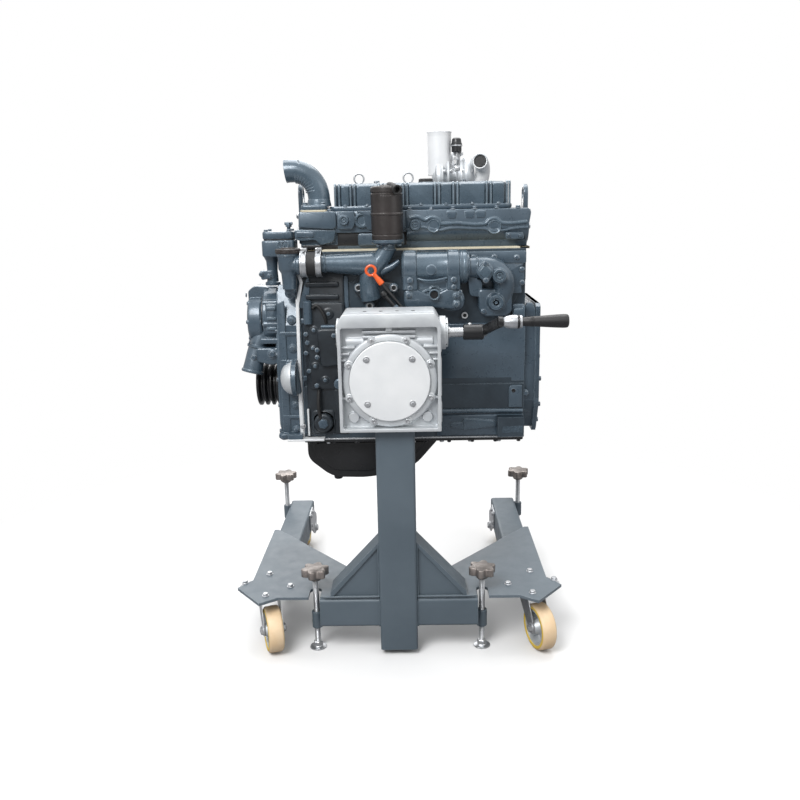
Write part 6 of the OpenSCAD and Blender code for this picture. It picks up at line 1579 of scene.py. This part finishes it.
def turbo():
    """The turbocharger: compressor, duct, turbine, outlet tube and actuator."""
    s = Shape(DUCT, CAST_ALU, CAST_ALU, ZINC, BLACK, RED_BROWN)
    y, z = 520, 1265
    # compressor and its upright duct
    volute(s, 136, y, z, 38, 41, 8, 17, 1)
    s.turn((114, y, z), "x", [(0, 26), (3, 30), (8, 34), (12, 47), (32, 47), (36, 40), (44, 34)], 1, 64)
    s.turn((158, y, z), "x", [(0, 50), (6, 50), (7, 47)], 1, 64)
    duct = [
        (136, y, z + 4), (136, y, z + 40), (136, y, z + 84), (136, y, z + 106), (136, y, z + 118),
        (136, y, z + 126)]
    s.tube(duct, [34, 35, 35.8, 36], 0, 64, 6)
    s.lathe(
        (136, y, z + 118), "z", [(0, 30), (0, 36), (6, 36), (9, 37.5), (11, 37.5), (12, 36), (12, 30)], 0,
        72, True)
    # bearing housing
    s.turn((160, y, z), "x", [(0, 33), (6, 33), (12, 26), (26, 26), (32, 34), (36, 34)], 2, 48)
    s.turn((178, y, z + 22), "z", [(0, 12), (14, 12), (16, 10)], 3, 6)
    s.tube([(178, y, z + 34), (178, y + 8, z + 52), (176, y + 24, z + 60), (150, 500, 1200)], 4, 3, 14)
    # turbine
    volute(s, 218, y, z, 38, 41, 9, 18, 2, -1)
    s.turn((196, y, z), "x", [(0, 49), (6, 50), (10, 47), (36, 45), (42, 36), (44, 30)], 2, 64)
    s.tube([(218, 539, 1204), (218, 536, 1222), (218, 530, 1240)], [25, 27], 2, 40)
    s.pad(184, 252, 503, 575, 12, 1207, 1217, 2.5, 2, plane="xy")
    # outlet tube turned up and forward
    path = [
        (224, 520, 1252), (244, 517, 1246), (260, 511, 1254), (265, 504, 1276), (263, 492, 1294),
        (257, 472, 1303), (253, 452, 1305)]
    s.tube(path, [22, 22, 21.4], 0, 44, 8, 3)
    s.ring((253, 452, 1305), (254, 457, 1305), 22.6, 18.4, 1, 56, 1.6)
    s.rod((253.6, 458, 1305), (255, 466, 1304.5), 18.8, 4, 40)
    # actuator with its rod and linkage
    s.turn(
        (187, 500, 1334), "z", [(0, 13), (2, 15), (18, 15), (20, 16.5), (24, 16.5), (26, 15), (38, 13),
        (41, 9)], 4, 48)
    s.turn((187, 500, 1351), "z", [(0, 17.4), (3.4, 17.4)], 3, 48)
    s.rod((187, 500, 1290), (187, 500, 1335), 3.2, 3, 20)
    s.turn((187, 500, 1312), "z", [(0, 6), (8, 6)], 3, 6)
    s.cast(
        [(177, 1336), (207, 1336), (207, 1326), (198, 1322), (198, 1262), (190, 1262), (190, 1322),
        (177, 1326)], 3, 506, 511, 1.2, 3)
    s.cast([(180, 1296), (200, 1296), (206, 1278), (196, 1270), (182, 1276)], 5, 494, 500, 1.2, 3)
    s.bolt((190, 494.5, 1286), "-y", 5.6, 3, 5)
    s.bolt((202, 505.5, 1330), "-y", 4.6, 3, 4)
    for x in (150, 170, 206, 230):
        s.bolt((x, y - 44, z + 14), "-y", 4.6, 3, 5)
    s.make("turbocharger_casting", "engine", "turbocharger", slot="cast_aluminium")


def housing_detail():
    """The flywheel housing's rim and bolts, and the flywheel."""
    s = Shape(PAINT, PAINT_SMOOTH, HEAD_BOLT, MACHINED, BLACK)
    rim = 390
    shares = [
        (-0.34, 0), (0.34, 0), (0.5, 0.25), (0.5, 0.98), (0.45, 1), (-0.45, 1), (-0.5, 0.98),
        (-0.5, 0.25)]
    low, high = 546, 915
    outline = [(CRANK_Y + u * 300, low + v * (high - low)) for u, v in shares]
    s.cast(
        outline, 12, rim - 3, 399, 2.4, 0, 2, hole=[(CRANK_Y + a, CRANK_Z + b) for a,
        b in circle(123, 72)], plane="yz")
    for a in (12, 40, 140, 168, 200, 228, 312, 340, 75, 105):
        r = radians(a)
        py, pz = CRANK_Y + 136 * cos(r), CRANK_Z + 136 * sin(r)
        s.turn((398, py, pz), "x", [(-2, 13), (1.6, 12.4)], 0, 32)
        s.bolt((399, py, pz), "x", 7.4, 2, 6)
    s.lathe(
        (399, CRANK_Y, CRANK_Z), "x", [(-10, 122.4), (-10, 127), (0.6, 127), (1.6, 126), (1.6, 122.4)], 3,
        96, True)
    s.cast([(356, 905), (362, 918), (377, 918), (386, 900), (386, 880), (356, 880)], 4, 196, 214, 3)
    s.turn((359, 196, 667), "-y", [(0, 11), (4, 10)], 0, 28)
    s.bolt((361, 193, 667), "-y", 7, 2, 6)
    s.turn((404, 475, 760), "x", [(-8, 24), (-3, 24)], 0, 40)
    s.make("flywheel_housing_detail", "engine", slot="engine_paint")
    g = Shape(MACHINED, ZINC, BLACK)
    teeth = [(118.6 if k % 2 else 115.4, tau * k / 220) for k in range(220)]
    ring_gear = [(345 + r * cos(a), 675 + r * sin(a)) for r, a in teeth]
    g.prism(ring_gear, "yz", 361, 372, 0, 0, 1, [(CRANK_Y + a, CRANK_Z + b) for a, b in circle(104, 72)])
    g.turn(
        (358.4, CRANK_Y, CRANK_Z), "x", [(0, 113), (15, 113), (16, 112), (25, 112), (25.5, 111),
        (25.5, 74), (15, 71), (15, 30), (19, 28)], 0, 96)
    for k in range(6):
        a = tau * k / 6
        g.turn(
            (383.6, CRANK_Y - 96 * sin(a), CRANK_Z + 96 * cos(a)), "x", [(0, 8), (0.5, 8), (0.5, 5.5),
            (-6, 5.4)], 2, 28)
        g.bolt((373.6, CRANK_Y + 52 * cos(a), CRANK_Z + 52 * sin(a)), "x", 8, 1, 7)
    g.make("flywheel_detail", "crankshaft", "flywheel", slot="steel")


oil_cooler()
cooler_elbow()
canister()
breather_pipe()
dipstick()
exhaust()
turbo()
housing_detail()

# Floor, lamps and world

FLOOR_HALF = 9.0
# what the camera sees of the floor, and the darker tone that it throws back on the object
FLOOR_TONES = (0.86, 0.86, 0.86), (0.88, 0.88, 0.88)
FLOOR_BOUNCE = (0.32, 0.32, 0.33)
WHITE_REACH = (0.75, 1.7)
LIGHT_SKY = (-0.25, 0.85, 0.05, 0.75)
SHINE_SKY = (-0.1, 0.55, 0.28, 1.35)


def stage():
    """The floor and the world."""
    mesh = bpy.data.meshes.new("floor")
    size = FLOOR_HALF
    mesh.from_pydata(
        [(-size, -size, 0), (size, -size, 0), (size, size, 0), (-size, size, 0)], [], [(0, 1, 2, 3)])
    floor = bpy.data.objects.new("floor", mesh)
    bpy.context.scene.collection.objects.link(floor)
    n = Nodes(bpy.data.materials.new("floor"))
    path = n.add("ShaderNodeLightPath")
    tone = n.mix(n.ramp(n.noise(3.0), 0.3, 0.7), *FLOOR_TONES)
    n.link(n.mix(path.outputs["Is Camera Ray"], FLOOR_BOUNCE, tone), n.shader.inputs["Base Color"])
    put(n.shader, {"Roughness": 0.9, "Specular IOR Level": 0.1})
    # the far floor shows white to the camera, and the near floor keeps its shadow
    reach = n.add("ShaderNodeVectorMath", operation="LENGTH")
    n.link(n.coords, reach.inputs[0])
    far = n.add("ShaderNodeMath", operation="MULTIPLY")
    n.link(n.ramp(reach.outputs["Value"], *WHITE_REACH), far.inputs[0])
    n.link(path.outputs["Is Camera Ray"], far.inputs[1])
    white = n.add("ShaderNodeEmission")
    put(white, {"Color": (1, 1, 1, 1), "Strength": 1.0})
    both = n.add("ShaderNodeMixShader")
    n.link(far.outputs[0], both.inputs["Fac"])
    n.link(n.shader.outputs[0], both.inputs[1])
    n.link(white.outputs[0], both.inputs[2])
    n.link(both.outputs[0], n.tree.nodes["Material Output"].inputs["Surface"])
    mesh.materials.append(n.mat)
    world = bpy.data.worlds.new("world")
    bpy.context.scene.world = world
    w = Nodes(world, "Background")
    path = w.add("ShaderNodeLightPath")
    split = w.add("ShaderNodeSeparateXYZ")
    w.link(w.add("ShaderNodeTexCoord").outputs["Generated"], split.inputs[0])
    # a bright ceiling and a dim horizon, once for the light and once for reflections
    light = w.ramp(split.outputs[2], *LIGHT_SKY)
    shine = w.ramp(split.outputs[2], *SHINE_SKY)
    level = w.ramp(path.outputs["Is Glossy Ray"], 0, 1, light, shine)
    put(w.shader, {"Color": (1, 1, 1, 1)})
    w.link(w.ramp(path.outputs["Is Camera Ray"], 0, 1, level, 1.0), w.shader.inputs["Strength"])


def lamp(name, position, target, size, power):
    """A square lamp, placed in the object's metres."""
    data = bpy.data.lights.new(name, "AREA")
    data.shape = "SQUARE"
    data.size = size
    data.energy = power
    obj = bpy.data.objects.new(name, data)
    bpy.context.scene.collection.objects.link(obj)
    obj.location = position
    aim = Vector(target) - Vector(position)
    obj.rotation_euler = aim.to_track_quat("-Z", "Y").to_euler()


stage()
lamp("key", (-1.2, -2.5, 3.0), (0, 0, 0.8), 1.6, 108)
lamp("fill", (2.4, -1.8, 1.8), (0, 0, 0.7), 2.0, 14)
lamp("top", (0.2, 0.8, 3.4), (0, 0, 0.8), 2.2, 62)
lamp("back", (-0.5, 3.0, 2.2), (0, 0, 0.8), 2.0, 30)
bpy.context.scene.view_settings.view_transform = "Standard"
